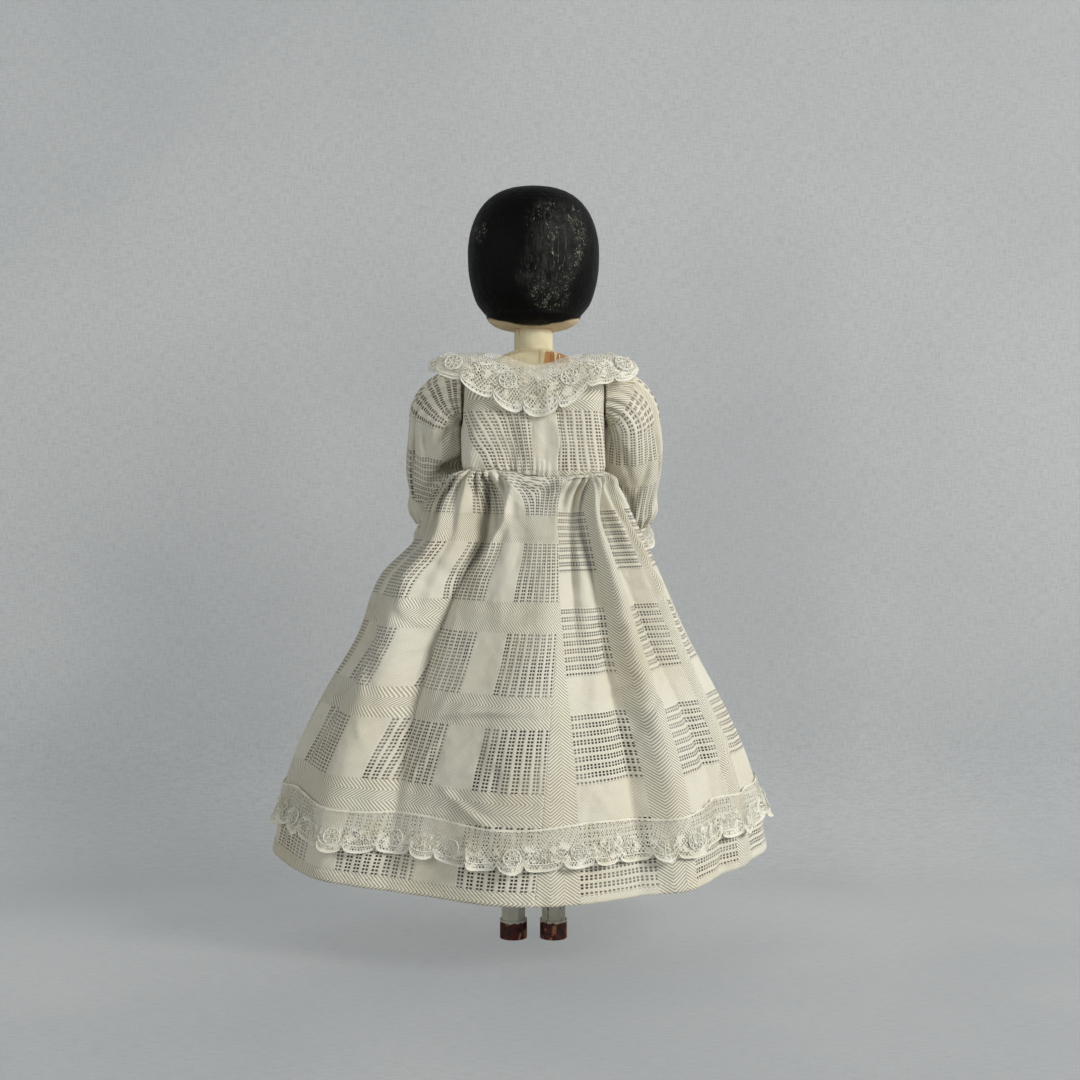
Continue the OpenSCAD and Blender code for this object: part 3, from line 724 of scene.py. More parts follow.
# Folds of the back and front: where each lies, in degrees from the middle at shares of the
# length, then its height, its width in degrees, its strength at shares of the length, and
# how far it leans: towards 1 its side away from the middle is the gentle one.
back_folds = [
    # the broad swell beside the seam, which falls away to the left
    ([(0, -2), (0.3, 0), (1, -1)], 0.0046, 15, [(0, 0), (0.2, 0.35), (0.4, 1), (1, 0.75)], 0.2),
    # narrow pleat from the waist to the left
    ([(0, 6), (0.12, 15), (0.25, 25), (1, 30)], 0.0030, 1.9,
     [(0, 0.7), (0.06, 1.2), (0.2, 1), (0.3, 0), (1, 0)], -0.3),
    # deep groove under it, that runs down to the hem
    ([(0, 20), (0.12, 27), (0.235, 29), (0.38, 36), (0.43, 39), (0.55, 38), (0.78, 34), (1, 32)],
     -0.0105, 6.0, [(0, 0.3), (0.08, 0.7), (0.25, 1), (0.5, 1), (0.75, 0.7), (1, 0.2)], -0.55),
    # hollow between the swell and the groove
    ([(0, 20), (0.5, 24), (1, 22)], -0.0028, 12, [(0, 0), (0.2, 0.4), (0.45, 1), (1, 0.6)], 0.0),
    # full swell at the left
    ([(0, 42), (0.2, 50), (0.5, 50), (1, 49)], 0.0046, 7.5,
     [(0, 0.2), (0.12, 1), (0.6, 1), (1, 0.55)], 0.3),
    # short pleats of the left waist
    ([(0, 34), (0.2, 42)], 0.0024, 3, [(0, 0.7), (0.06, 1), (0.2, 0.3), (0.3, 0), (1, 0)], 0.0),
    ([(0, 56), (0.2, 64)], -0.0026, 3, [(0, 0.6), (0.08, 1), (0.25, 0.5), (0.4, 0), (1, 0)], 0.0),
    # groove under the left side
    ([(0, 70), (0.3, 74), (0.5, 66), (0.7, 70), (1, 72)], -0.0052, 5,
     [(0, 0), (0.3, 0.8), (0.5, 1), (0.8, 0.6), (1, 0.3)], 0.3),
    # groove right of the placket
    ([(0, -27), (0.155, -21), (0.28, -18), (0.5, -16), (1, -15)], -0.0054, 3.6,
     [(0, 0.3), (0.08, 0.5), (0.2, 0.9), (0.3, 1), (0.45, 0.4), (0.6, 0.1), (1, 0)], 0.4),
    # rounded ridge down the right panel
    ([(0, -40), (0.12, -34), (0.3, -36), (0.45, -37), (1, -36)], 0.0066, 5.0,
     [(0, 0.5), (0.06, 1), (0.4, 1), (0.7, 0.75), (1, 0.35)], -0.3),
    # its shaded foot
    ([(0, -30), (0.35, -28), (1, -26)], -0.0060, 4.0,
     [(0, 0), (0.25, 0.6), (0.5, 1), (0.8, 0.8), (1, 0.3)], 0.4),
    # sharp fold beside the ridge, from the waist to the side
    ([(0, -52), (0.15, -48), (0.4, -51), (0.7, -53), (1, -54)], -0.0062, 4.4,
     [(0, 0.8), (0.1, 1), (0.35, 0.9), (0.6, 0.7), (1, 0.3)], -0.4),
    # long soft swell towards the right side, and a groove beyond it
    ([(0, -60), (0.4, -66), (1, -62)], 0.0030, 6, [(0, 0), (0.4, 0.8), (0.8, 1), (1, 0.6)], 0.0),
    ([(0, -76), (1, -74)], -0.0038, 5, [(0, 0.4), (0.3, 0.8), (0.7, 1), (1, 0.6)], 0.0),
]
front_folds = [
    ([(0, 4), (1, 6)], 0.0026, 10, [(0, 0), (0.3, 0.8), (1, 1)], 0.0),
    ([(0, 22), (0.4, 26), (1, 27)], -0.0056, 5, [(0, 0.5), (0.3, 1), (1, 0.6)], 0.3),
    ([(0, 44), (1, 46)], 0.0028, 7, [(0, 0.3), (0.4, 1), (1, 0.8)], 0.2),
    ([(0, 66), (1, 64)], -0.0044, 5, [(0, 0.2), (0.4, 1), (1, 0.7)], -0.3),
    ([(0, -16), (0.5, -19), (1, -18)], -0.0052, 4.5,
     [(0, 0.6), (0.25, 1), (0.7, 0.8), (1, 0.4)], -0.3),
    ([(0, -36), (1, -38)], 0.0030, 7, [(0, 0.4), (0.4, 1), (1, 0.8)], 0.0),
    ([(0, -58), (1, -60)], -0.0048, 5, [(0, 0.3), (0.4, 1), (1, 0.7)], 0.3),
]


def crease_strokes(across, down, seed, count, wide, long):
    """Short creases at seeded places on the flat cloth, each with one side pushed up."""
    pick = np.random.default_rng(seed)
    total = np.zeros(np.broadcast(across, down).shape)
    for _ in range(count):
        at_x, at_y = pick.uniform(-wide, wide), pick.uniform(0.004, long)
        angle = pick.normal(math.pi / 2, 0.75)
        half_long, half_wide = pick.uniform(0.005, 0.014), pick.uniform(0.0014, 0.0028)
        height = pick.uniform(0.0005, 0.0011) * pick.choice([-1, 1])
        x, y = across - at_x, down - at_y
        run = x * math.cos(angle) + y * math.sin(angle)
        gap = (y * math.cos(angle) - x * math.sin(angle) + 5.0 * run * run) / half_wide
        total = total + height * (0.4 + 1.3 * gap) * np.exp(-gap * gap - (run / half_long) ** 2)
    return total


def seam_turn(u):
    """Direction of the back seam, which starts beside the lap and slants to the middle."""
    away = smooth([(0, 5.6), (0.05, 12), (0.15, 12.5), (0.3, 10), (0.6, 4.4), (1, 0)], u)
    return -math.pi / 2 + np.radians(away)


def skirt_length(turn):
    return side_len + (mid_len - side_len) * np.abs(np.sin(turn)) ** 1.5


def hanging_folds(turn, u):
    """How far the listed folds stand out or in at turn and at a share u of the length."""
    fold = np.zeros(np.broadcast(turn, u).shape)
    for folds, middle, way in ((back_folds, 270, -1), (front_folds, 90, 1)):
        from_seam = apart(turn, middle) * way
        for path, height, width, strength, lean in folds:
            gap = (from_seam - smooth(path, u)) / width
            gap = gap / (1 + lean * np.tanh(gap))
            shape = np.exp(-np.abs(gap) ** (1.25 if height < 0 else 2.2))
            fold = fold + height * smooth(strength, u) * shape * (np.abs(from_seam) < 100)
    across = np.abs(np.cos(turn))
    fold = fold * (1 - across ** 12) * ease_in(u * 26)
    return fold - 0.0018 * ease_in(u * 4) * (1 - across ** 4)


def small_folds(turn, u):
    """The waist's gathers, drapes under them, seeded creases, the seams and the hem."""
    c, s = np.cos(turn), np.sin(turn)
    # gathers, and the turned-in edge that they are sewn down by
    gather = (np.sin(turn * 38 + 2.6 * np.sin(turn * 7 + 1)) + 0.5) * 0.0013
    fine_gather = np.sin(turn * 71 + 3.0 * np.sin(turn * 6)) * 0.0005
    fold = (gather * bell(u, 0.02, 0.085) + fine_gather * bell(u, 0, 0.05)) * ease_in(u * 80)
    fold = fold + 0.0012 * bell(u, 0.02, 0.016)
    # slow wandering, and drapes under the gathers
    long_u = u * 9 + 2
    fold = fold + ripple(c * 9 + long_u * 0.3, s * 9 + long_u * 0.6, 31) * 0.0010 * ease_in(u * 5)
    fold = fold + ripple(c * 18 + u * 3, s * 18 + u * 9, 32) * 0.00035 * ease_in(u * 5)
    drape = np.sin(turn * 29 + 3.0 * np.sin(turn * 4 + 2)) * 0.0007
    fold = fold + drape * bell(u, 0.16, 0.14)
    # short creases behind and in front
    for middle, seed in ((270, 41), (90, 42)):
        from_middle = apart(turn, middle)
        near = np.clip((84 - np.abs(from_middle)) / 12, 0, 1)
        across_cloth = np.radians(from_middle) * (0.02 + 0.062 * u)
        strokes = crease_strokes(across_cloth, u * 0.155, seed, count=90, wide=0.1, long=0.15)
        fold = fold + strokes * near * ease_in(u * 12)
    for line, depth in ((np.pi / 2, 0.0003), (seam_turn(u), 0.00006)):
        fold = fold - depth * bell(apart(turn - line, 0), 0, 0.7)
    return fold + 0.0003 * ease_in((u - 0.977) / 0.004)


def skirt_surface(turn, u, off=0.0):
    """Points of the skirt, off from its surface, at turn (radians, from the right side
    towards the front) and at a share u of its length."""
    side = np.where(np.cos(turn) < 0,
                    bodice_a + (reach_left - bodice_a) * smooth(left_outline, u),
                    bodice_a + (reach_right - bodice_a) * smooth(right_outline, u))
    deep = bodice_b + (reach_depth - bodice_b) * smooth(mid_outline, u)
    square = 2 + 3 * np.clip(1 - u, 0, 1) ** 30
    c, s = np.cos(turn), np.sin(turn)
    x = side * np.sign(c) * np.abs(c) ** (2 / square)
    y = deep * np.sign(s) * np.abs(s) ** (2 / square)
    sag = waist_sag(x * bodice_a / side, y * bodice_b / deep)
    z = seam_z - 0.0001 - u * skirt_length(turn) - sag * np.clip(1 - u * 4, 0, 1) ** 2
    fold = hanging_folds(turn, u) + small_folds(turn, u) + off
    nx, ny = c / side, s / deep
    n = np.sqrt(nx * nx + ny * ny)
    return np.stack([doll_x + x + fold * nx / n, y + fold * ny / n, z + 0 * turn], -1)


def skirt_panel(side):
    """The cloth of one panel, and its flat places along the thread and down from the waist."""
    rows = np.concatenate([[-0.004, 0.0], np.linspace(0.002, 0.06, 16)[:-1],
                           np.linspace(0.06, 1, 170)])[:, None]
    start = seam_turn(rows) if side > 0 else math.pi / 2 + 0 * rows
    stop = math.pi / 2 + 0 * rows if side > 0 else seam_turn(rows) + math.tau + seam_lap
    turn = start + (stop - start) * np.linspace(0, 1, 240)[None, :]
    off = np.where(rows < 0, -0.0009, np.where(rows < 0.001, -0.0005, 0.0)) + 0 * turn
    down = rows * skirt_cut + 0 * turn
    if side > 0:
        sideways = np.degrees(turn + math.pi / 2)
        cut = np.stack([down + 0.0235, sideways * 0.0012 + 0.0223], -1)
        return cloth_mesh("skirt_right_cloth", skirt_surface(turn, rows, off), cut)
    # the left edge of the back opening laps over the right one
    edge = np.degrees(stop - turn)
    off = off + 0.0011 * bell(edge, 0, 3.5) * ease_in((0.36 - rows) / 0.2) * ease_in(rows * 60)
    off = off + 0.0002 * bell(edge, 0, 0.9) * ease_in(rows * 60)
    cut = np.stack([edge * -0.00136 + 0.0225, down + 0.0052], -1)
    return cloth_mesh("skirt_left_cloth", skirt_surface(turn, rows, off), cut)


for side, node in ((-1, "skirt_left_panel"), (1, "skirt_right_panel")):
    sew_on(skirt_panel(side), cotton, node, "trunk", flat=(0.26, skirt_cut), area=0.036,
           held="gathered", rests_on=["bodice_front_cloth"])


# ---- Hem and seam stitches ----
# Fine running stitches in cotton thread, sewn by hand: round the narrow hem and beside the
# seam at the back. The same stitch holds the heading of the hem lace.

class Pattern(Work):
    """A Geometry Nodes tree that turns a guide into a repeated piece, with named sizes."""

    def __init__(self, name, sizes):
        self.group = bpy.data.node_groups.new(name, "GeometryNodeTree")
        super().__init__(self.group)
        face = self.group.interface
        face.new_socket("Guide", in_out="INPUT", socket_type="NodeSocketGeometry")
        face.new_socket("Geometry", in_out="OUTPUT", socket_type="NodeSocketGeometry")
        self.keys = {}
        for size, value in sizes.items():
            socket = face.new_socket(size, in_out="INPUT", socket_type="NodeSocketFloat")
            socket.default_value = value
            self.keys[size] = socket.identifier
        entry = self.add("NodeGroupInput", out=("Guide", *sizes))
        self.guide = entry[0]
        self.size = dict(zip(sizes, entry[1:]))

    def join(self, *parts):
        node = self.tree.nodes.new("GeometryNodeJoinGeometry")
        for part in parts:
            self.tree.links.new(part.socket, node.inputs[0])
        return Wire(self, node.outputs[0])

    def vector(self, x, y, z):
        return self.add("ShaderNodeCombineXYZ", None, {0: x, 1: y, 2: z})

    def read(self, name):
        """A direction that each point of the guide carries."""
        return self.add("GeometryNodeInputNamedAttribute", {"data_type": "FLOAT_VECTOR"},
                        {"Name": name})

    def facing(self, along):
        """Turns a piece's X to along, and its Z to the guide's outward direction."""
        first = self.add("FunctionNodeAlignRotationToVector", {"axis": "X"}, {"Vector": along})
        return self.add("FunctionNodeAlignRotationToVector", {"axis": "Z", "pivot_axis": "X"},
                        {"Rotation": first, "Vector": self.read("out")})

    def guide_line(self):
        return self.add("GeometryNodeMeshToCurve", None, {0: self.guide})

    def on_points(self, points, instance, **turned):
        return self.add("GeometryNodeInstanceOnPoints", None,
                        {"Points": points, "Instance": instance, **turned})

    def circle(self, radius, corners):
        return self.add("GeometryNodeCurvePrimitiveCircle", None,
                        {"Resolution": corners, "Radius": radius})

    def tube(self, curve, thread, sides):
        return self.add("GeometryNodeCurveToMesh", None,
                        {"Curve": curve, "Profile Curve": self.circle(thread, sides)})

    def thread_ring(self, radius, thread, corners, sides=4):
        return self.tube(self.circle(radius, corners), thread, sides)

    def end(self, geometry, material):
        solid = self.add("GeometryNodeRealizeInstances", None, {0: geometry})
        done = self.add("GeometryNodeSetMaterial", None, {0: solid, "Material": material})
        self.add("NodeGroupOutput", None, {0: done})

    def make(self, name, runs, **sizes):
        """Runs the tree on runs of (points, outward, along, closed or None for loose spots)."""
        mesh = bpy.data.meshes.new(name)
        points, edges, outs, alongs = [], [], [], []
        for run, out, along, closed in runs:
            start, count = len(points), len(run)
            points += np.asarray(run).tolist()
            outs += np.broadcast_to(out, (count, 3)).tolist()
            alongs += np.broadcast_to(along, (count, 3)).tolist()
            if closed is not None:
                edges += [(start + i, start + i + 1) for i in range(count - 1)]
                if closed:
                    edges.append((start + count - 1, start))
        mesh.from_pydata(points, edges, [])
        for key, values in (("out", outs), ("along", alongs)):
            layer = mesh.attributes.new(key, "FLOAT_VECTOR", "POINT")
            layer.data.foreach_set("vector", np.array(values, np.float32).ravel())
        guide = bpy.data.objects.new(name + "_guide", mesh)
        bpy.context.scene.collection.objects.link(guide)
        run_tree = guide.modifiers.new("pattern", "NODES")
        run_tree.node_group = self.group
        for size, value in sizes.items():
            run_tree[self.keys[size]] = value
        depsgraph = bpy.context.evaluated_depsgraph_get()
        made = bpy.data.meshes.new_from_object(guide.evaluated_get(depsgraph))
        bpy.data.objects.remove(guide)
        piece = bpy.data.objects.new(name, made)
        bpy.context.scene.collection.objects.link(piece)
        return piece


def thread_finish(name, pale, shade):
    work = Finish(name)
    work.place()
    twist = work.noise(2600, 1, 0.5)
    tint = work.mix(twist.ramp(0.35, 0.7) * 0.6, pale, shade)
    return work.surface(tint, 0.75, twist, 0.0001, 0.3, **{"Sheen Weight": 0.1})


sewing_thread = thread_finish("sewing_thread", colour(233, 229, 212), colour(176, 166, 138))

stitching = Pattern("running_stitch", {"Pitch": 0.002, "Length": 0.0012, "Thread": 0.0002})
places = stitching.add("GeometryNodeResampleCurve", {"mode": "LENGTH"},
                       {"Curve": stitching.guide_line(), "Length": stitching.size["Pitch"]})
bead = stitching.add("GeometryNodeMeshIcoSphere", None, {"Radius": 1.0, "Subdivisions": 1})
half_length, thread = stitching.size["Length"] * 0.5, stitching.size["Thread"]
stitch = stitching.add("GeometryNodeTransform", None, {
    "Geometry": bead, "Scale": stitching.vector(half_length, thread, thread)})
way = stitching.facing(stitching.add("GeometryNodeInputTangent"))
stitching.end(stitching.on_points(places, stitch, Rotation=way), sewing_thread)

hem_depth = 0.0032
beside_seam = 1.6


def sew_line(name, turn, u, lift, thread_lift, slot, closed, **sizes):
    """Stitches along a line on the skirt's cloth, which lies lifted off its surface there."""
    line = skirt_surface(turn, u, lift + thread_lift)
    way = skirt_surface(turn, u, lift + 0.001) - skirt_surface(turn, u, lift)
    out = way / np.linalg.norm(way, axis=-1, keepdims=True)
    piece = stitching.make(name, [(line, out, (1, 0, 0), closed)], **sizes)
    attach(piece, "trunk")


round_turn = np.linspace(0, math.tau, 500, endpoint=False)
sew_line("hem_stitches", round_turn, 1 - hem_depth / skirt_length(round_turn), 0.0, 0.00008,
         "dress_cotton", True, Pitch=0.0021, Length=0.0013, Thread=0.00017)
seam_share = np.linspace(0.02, 0.985, 160)
sew_line("back_seam_stitches", seam_turn(seam_share) - np.radians(beside_seam), seam_share,
         0.0011 * bell(beside_seam, 0, 3.5) * ease_in((0.36 - seam_share) / 0.2), 0.00004,
         "dress_cotton", False, Pitch=0.0021, Length=0.0012, Thread=0.0001)


# ---- Hem lace ----
# A band of machine net lace, gathered onto the skirt above the hem. Its lower edge is
# scalloped and corded, with a rosette and a leaf spray worked in turn in the scallops.

hem_border = 0.0272
hem_lace_w = 0.0148
hem_scallops = 44
heading_w = 0.0008


def lace_finish(name, width):
    """Net with a woven heading, a filled ground near the flowers and a solid edge."""
    work = Finish(name)
    u, v = work.cut()
    wander = work.noise(0.5, 2) * 0.5
    mesh_w, mesh_lean, close_w = 1.05, 0.62, 0.7
    first = abs(((u + v * mesh_lean + wander) / mesh_w).share() - 0.5)
    second = abs(((u - v * mesh_lean + wander) / mesh_w).share() - 0.5)
    net = first.most(second).ramp(0.33, 0.4)
    heading = v.ramp(0.9, 0.6)
    border = v.ramp(width - 1.0, width - 0.7)
    fill = work.noise(0.34, 2, 0.6).ramp(0.5, 0.56) * v.ramp(width * 0.3, width * 0.5)
    clothy = abs((u / close_w).share() - 0.5).most(abs((v / close_w).share() - 0.5))
    filled = fill * (clothy.ramp(0.2, 0.3) * 0.5 + 0.5)
    solid = heading.most(border).most(net).most(filled)
    tint = work.coats(colour(226, 223, 209),
                      (work.noise(0.09, 2).ramp(0.4, 0.7), colour(208, 201, 178)),
                      (net.ramp(0.2, 0.9) * 0.2, colour(240, 238, 228)))
    return work.surface(tint, 0.8, solid, 0.0002, 0.4, Alpha=solid, **{"Sheen Weight": 0.15})


lace_thread = thread_finish("lace_thread", colour(238, 236, 225), colour(200, 194, 172))


def scallop(place):
    """Share of the lace's width at a place along it, counted in scallops."""
    bow = np.sqrt(np.clip(1 - (2 * (place % 1.0) - 1) ** 2, 0, 1))
    return 0.8 + 0.2 * bow ** 0.8


def grid_frames(points, row, col):
    """Outward and along directions of a grid of points at one row and column."""
    cols = points.shape[1]
    along = points[row, (col + 2) % cols] - points[row, (col - 2) % cols]
    down = points[row + 1, col] - points[row - 1, col]
    out = np.cross(down, along)
    return out / np.linalg.norm(out), along / np.linalg.norm(along)


cording = Pattern("corded_edge", {"Thread": 0.0003})
cording.end(cording.tube(cording.guide_line(), cording.size["Thread"], 5), lace_thread)


def rosette_rings(flower, radius, thread):
    """A ring of small rings between a middle ring and an outer one."""
    rings = flower.on_points(flower.circle(radius * 0.66, 8),
                             flower.thread_ring(radius * 0.23, thread, 8, 3))
    return [flower.thread_ring(radius, thread * 1.2, 24), rings,
            flower.thread_ring(radius * 0.3, thread, 10)]


def spray_loops(flower, radius, thread):
    """Five looped leaves that spread from a small ring, three down and two up."""
    parts = [flower.thread_ring(radius * 0.2, thread, 8)]
    for turn in (-1.05, 0.0, 1.05, 2.3, -2.3):
        parts.append(flower.add("GeometryNodeTransform", None, {
            "Geometry": flower.thread_ring(radius * 0.42, thread, 12, 3),
            "Translation": flower.vector(radius * 0.62 * math.sin(turn),
                                         radius * -0.62 * math.cos(turn), 0.0),
            "Rotation": (0.0, 0.0, turn), "Scale": (0.55, 1.0, 1.0)}))
    return parts


def flower_tree(name, parts):
    """A flower of the lace, worked at each point of the guide."""
    flower = Pattern(name, {"Radius": 0.003, "Thread": 0.0002})
    worked = flower.join(*parts(flower, flower.size["Radius"], flower.size["Thread"]))
    spots = flower.add("GeometryNodeMeshToPoints", None, {0: flower.guide})
    way = flower.facing(flower.read("along"))
    flower.end(flower.on_points(spots, worked, Rotation=way), lace_thread)
    return flower


rosette = flower_tree("lace_rosette", rosette_rings)
spray = flower_tree("lace_leaf_spray", spray_loops)


def lace_trim(name, points, body, flat, scallops, width, thread, flower_r, net, flip=False):
    """One lace: its net sheet, its corded edge, and the flowers worked on it."""
    rows, cols = points.shape[:2]
    cut = np.meshgrid(np.arange(cols + 1) / cols * flat[0], np.linspace(0, width, rows))
    sheet = cloth_mesh(name + "_net", points, np.stack(cut, -1), ring=True, flip=flip)
    sheet.data.materials.append(net)
    edges = [(line, (0, 0, 1), (1, 0, 0), True)
             for line in (points[-1], points[-2] * 0.2 + points[-3] * 0.8)]
    pieces = [cording.make(name + "_cord", edges, Thread=thread)]
    row = int(rows * 0.6)
    spots = []
    for count in range(scallops):
        col = int((count + 0.5) * cols / scallops) % cols
        out, along = grid_frames(points, row, col)
        out = -out if flip else out
        spots.append(([points[row, col] + out * thread], out, along, None))
    for first, kind, tree in ((0, "_rosettes", rosette), (1, "_sprays", spray)):
        pieces.append(tree.make(name + kind, spots[first::2], Radius=flower_r,
                                Thread=thread * 0.8))
    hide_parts(name)
    for piece in (sheet, *pieces):
        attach(piece, body)


def even_turns(edge, count):
    """Turns whose points lie evenly along a closed edge, so that the scallops are alike."""
    turn = np.linspace(0, math.tau, 4001)
    line = edge(turn)
    steps = np.concatenate([[0], np.cumsum(np.linalg.norm(np.diff(line, axis=0), axis=1))])
    return np.interp(np.arange(count) / count * steps[-1], steps, turn)


def heading_height(turn):
    """How high over the hem the lace is sewn on, a little unevenly."""
    return hem_border + 0.0009 * np.sin(turn * 9 + 1.0)


def hem_lace_points():
    cols = hem_scallops * 12
    turn = even_turns(lambda t: skirt_surface(t, np.full(t.shape, 0.88)), cols)[None, :]
    level = np.linspace(0, 1, 12)[:, None]
    place = np.arange(cols)[None, :] / cols * hem_scallops
    reach = level * scallop(place) * hem_lace_w
    u = 1 - (heading_height(turn) - reach) / skirt_length(turn)
    wave = 0.5 + 0.5 * np.sin(place * 3.1 + 1.8 * np.sin(turn * 7))
    small = 0.5 + 0.5 * np.sin(place * math.tau + 0.6)
    off = 0.0009 + level ** 1.4 * (0.0031 * wave + 0.0009 * small)
    shift = math.radians(0.8) * level * np.sin(place * 3.1 + 0.9 + 1.8 * np.sin(turn * 7))
    return skirt_surface(turn + shift, np.clip(u, 0, 1), off)


lace_trim("hem_lace", hem_lace_points(), "trunk", (0.56, 0.0142), hem_scallops, hem_lace_w,
          0.00024, 0.0031, lace_finish("hem_lace_net", hem_lace_w * 1000))
heading_u = 1 - (heading_height(round_turn) - heading_w) / skirt_length(round_turn)
sew_line("hem_lace_stitches", round_turn, heading_u, 0.0, 0.0012, "lace", True,
         Pitch=0.0026, Length=0.0014, Thread=0.00018)


# ---- Collar lace ----
# The same lace in a wider width, gathered round the neckline so that it falls down the back
# and front and stands out over the sleeves.

collar_scallops = 18
collar_w = 0.024
neck_a, neck_b = 0.01987, 0.0157
collar_top = 0.2328
side_fall = 0.2262


def collar_far(turn):
    reach = 0.0405 + (0.0272 - 0.0405) * ease_in((np.sin(turn) + 0.06) / 0.2)
    return oblong(turn, reach, 0.0192, 5)


def collar_fall(turn):
    """Height of the scallops' edge: even in front, fuller behind, turned back at the right."""
    behind = smooth([(-90, side_fall), (-75, 0.2248), (-58, 0.2206), (-45, 0.2142),
                     (-17, 0.2074), (20, 0.2072), (36, 0.2118), (50, 0.2185), (60, 0.2192),
                     (75, 0.2236), (90, side_fall)], np.clip(apart(turn, 270), -90, 90))
    front = side_fall - 0.0166 * ease_in((np.sin(turn) - 0.3) / 0.5)
    return np.where(np.sin(turn) < 0, behind, front)


def collar_edge(turn):
    r = collar_far(turn)
    return np.stack([r * np.cos(turn), r * np.sin(turn), collar_fall(turn)], -1)


def collar_points():
    cols = collar_scallops * 18
    turn = even_turns(collar_edge, cols)[None, :]
    level = np.linspace(0, 1, 24)[:, None]
    place = np.arange(cols)[None, :] / cols * collar_scallops
    back = np.clip(-np.sin(turn), 0, 1)
    near = oblong(turn, neck_a, neck_b, 2.5)
    top = collar_top - 0.0058 * back_dip(turn)
    v = level * (0.86 + 0.14 * (scallop(place) - 0.8) / 0.2)
    wave = 0.5 + 0.5 * np.sin(place * 2.35 + 1.4 * np.sin(turn * 5 + 0.5))
    ruffle = (0.0032 * wave + 0.0006 * np.sin(place * math.tau)) * level ** 1.3
    ruffle = ruffle + 0.0042 * bell(apart(turn, 270), 46, 13) * ease_in((level - 0.35) / 0.6)
    arc = np.sin(math.pi / 2 * v)
    gathers = 0.0004 * np.sin(turn * 55 + 2 * np.sin(turn * 8)) * np.exp(-level / 0.3)
    r = near + (collar_far(turn) - near) * arc ** 0.6 + gathers
    r = r + ruffle * np.abs(np.sin(turn)) ** 0.7
    z = top - (top - collar_fall(turn)) * (1 - np.cos(math.pi / 2 * v))
    z = z + ruffle * (1 - back) * 0.3
    return np.stack([doll_x + r * np.cos(turn), r * np.sin(turn), z], -1)


lace_trim("collar_lace", collar_points(), "trunk", (0.19, 0.0235), collar_scallops, collar_w,
          0.00026, 0.0034, lace_finish("collar_lace_net", collar_w * 1000))


# ---- Cuff laces ----
# A short frill of the narrowest lace, sewn under the gathers of each sleeve. It flares a
# little, and ends just above the elbow.

cuff_scallops = 10
cuff_lace_w = 0.010
cuff_drop = 0.0105


def cuff_points(side):
    cols = cuff_scallops * 14
    turn = np.linspace(0, math.tau, cols, endpoint=False)[None, :]
    level = np.linspace(0, 1, 12)[:, None]
    place = turn / math.tau * cuff_scallops
    wave = np.sin(place * 2.0 + math.sin(1.0) + 1.2 * np.sin(turn * 2))
    r = cuff_r + 0.0026 * level + level ** 1.2 * (0.0004 * wave - 0.0004)
    z = -sleeve_l - 0.0003 - level * scallop(place) * cuff_drop + 0 * turn
    points = np.stack([sleeve_x + 0.002 + r * np.cos(turn), r * np.sin(turn), z], -1)
    return in_arm(points, side)


cuff_net = lace_finish("cuff_lace_net", cuff_lace_w * 1000)
for side, side_name in ((-1, "left"), (1, "right")):
    lace_trim(side_name + "_cuff_lace", cuff_points(side), side_name + "_arm", (0.07, 0.0102),
              cuff_scallops, cuff_lace_w, 0.00022, 0.0023, cuff_net, side < 0)


# ---- Floor, backdrop, light and camera ----
# A plain pale sweep just beyond the reach of the doll's arms. One large soft window lights it
# from the right, with a pale wall at the left and the room behind, and a level camera looks
# at the doll's back.

wall_y, bend, sweep_end = 0.15, 0.06, 2.5
room_tone = colour(173, 176, 177)
camera_away, camera_z = 0.6, 0.1588
doll_middle = np.array([0.006, 0.0, 0.16])


def sweep_mesh():
    profile = [(-sweep_end, 0.0), (-0.3, 0.0)]
    profile += [(wall_y - bend + bend * math.sin(math.radians(a)),
                 bend - bend * math.cos(math.radians(a))) for a in range(0, 91, 6)]
    profile += [(wall_y, 0.4), (wall_y, sweep_end)]
    mesh = bpy.data.meshes.new("pale_sweep")
    points = [(x, y, z) for y, z in profile for x in (-sweep_end, sweep_end)]
    faces = [(2 * i, 2 * i + 1, 2 * i + 3, 2 * i + 2) for i in range(len(profile) - 1)]
    mesh.from_pydata(points, [], faces)
    mesh.shade_smooth()
    return mesh


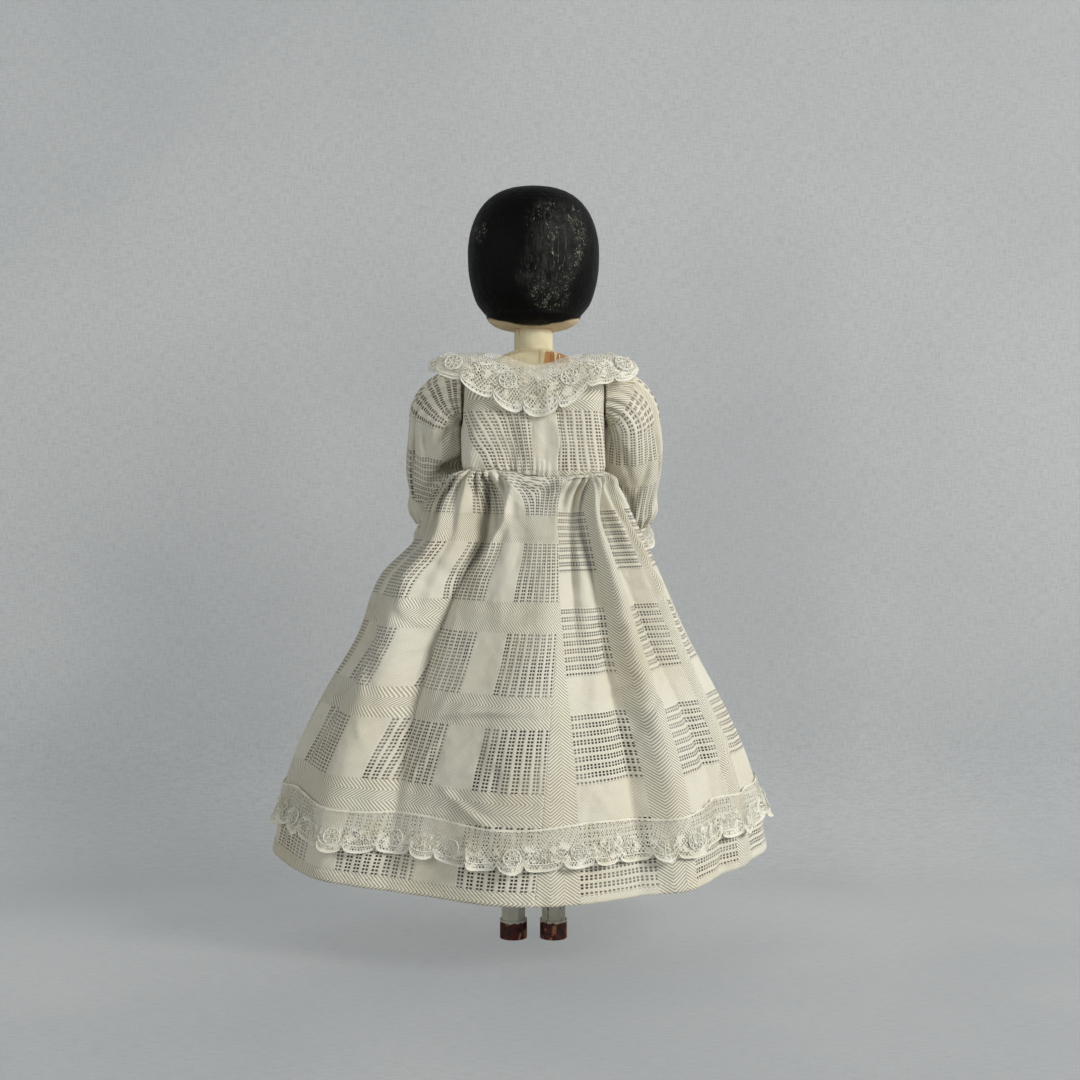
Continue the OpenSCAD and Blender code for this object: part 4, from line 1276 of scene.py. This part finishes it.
def sweep_finish():
    """Sheeting that lets the lamps through from behind, and fades to one tone far away."""
    work = Finish("pale_grey_sheeting")
    x, y, z = work.place()
    soft = work.noise(4.0, 3)
    warp, weft = work.noise(1900, 2, 0.7, (1, 1, 0.1)), work.noise(1900, 2, 0.7, (0.1, 1, 1))
    thread = warp * 0.5 + weft * 0.5
    tint = work.coats(colour(184, 187, 187), (soft.ramp(0.3, 0.7), colour(172, 175, 176)),
                      (thread.ramp(0.44, 0.6) * 0.34, colour(140, 143, 143)))
    lit = work.skin(tint, 0.9, soft * 6.0 + thread * 0.3, 0.001, 0.3)
    far = (x * x + y * y).ramp(0.02, 0.2) * z.ramp(0.05, 0.0)
    plain = work.add("ShaderNodeEmission", None,
                     {"Color": work.mix(far, tint, room_tone), "Strength": 1.0})
    seen, shadow = work.add("ShaderNodeLightPath", out=("Is Camera Ray", "Is Shadow Ray"))
    paler = work.add("ShaderNodeMixShader", None,
                     {0: seen * (far * 0.38 + 0.62), 1: lit, 2: plain})
    behind = work.add("ShaderNodeNewGeometry", out="Backfacing")
    open_to = behind.most(shadow * z.ramp(0.04, 0.06))
    clear = work.add("ShaderNodeBsdfTransparent")
    return work.end(work.add("ShaderNodeMixShader", None, {0: open_to, 1: paler, 2: clear}))


sweep = bpy.data.objects.new("pale_sweep", sweep_mesh())
bpy.context.scene.collection.objects.link(sweep)
sweep.data.materials.append(sweep_finish())

world = bpy.data.worlds.new("soft_room")
world.use_nodes = True
bpy.context.scene.world = world
room = Work(world.node_tree)
room.tree.nodes.clear()
seen = room.add("ShaderNodeLightPath", out="Is Camera Ray")
glow = room.add("ShaderNodeBackground", None,
                {"Color": colour(225, 230, 236), "Strength": 0.25})
plain = room.add("ShaderNodeBackground", None, {"Color": room_tone, "Strength": 1.0})
room.add("ShaderNodeOutputWorld", None,
         {"Surface": room.add("ShaderNodeMixShader", None, {0: seen, 1: glow, 2: plain})})


def window(name, direction, distance, size, power):
    """A square soft lamp in a direction from the doll's middle, turned to it."""
    lamp = bpy.data.lights.new(name, "AREA")
    lamp.shape = "SQUARE"
    lamp.size = size
    lamp.energy = power
    lamp.color = (1.0, 0.985, 0.95)
    holder = bpy.data.objects.new(name, lamp)
    way = np.array(direction) / np.linalg.norm(direction)
    holder.location = way
    holder.rotation_mode = "QUATERNION"
    holder.rotation_quaternion = holder.location.to_track_quat("Z", "Y")
    holder.location = doll_middle + way * distance
    bpy.context.scene.collection.objects.link(holder)


window("window_light", (0.74, -0.56, 0.38), 1.3, 0.45, 15.2)
window("pale_wall", (-0.78, -0.54, 0.2), 1.5, 1.0, 5.6)
window("room_behind", (0.45, 0.85, 0.3), 1.8, 1.2, 15.0)

lens = bpy.data.cameras.new("camera")
lens.lens = 50
lens.sensor_width = 36
lens.clip_start = 0.01
lens.clip_end = 20
camera = bpy.data.objects.new("camera", lens)
camera.location = (doll_x + 0.0026, -camera_away, camera_z)
camera.rotation_euler = (math.pi / 2, 0, 0)
bpy.context.scene.collection.objects.link(camera)
bpy.context.scene.camera = camera
bpy.context.scene.view_settings.view_transform = "Standard"
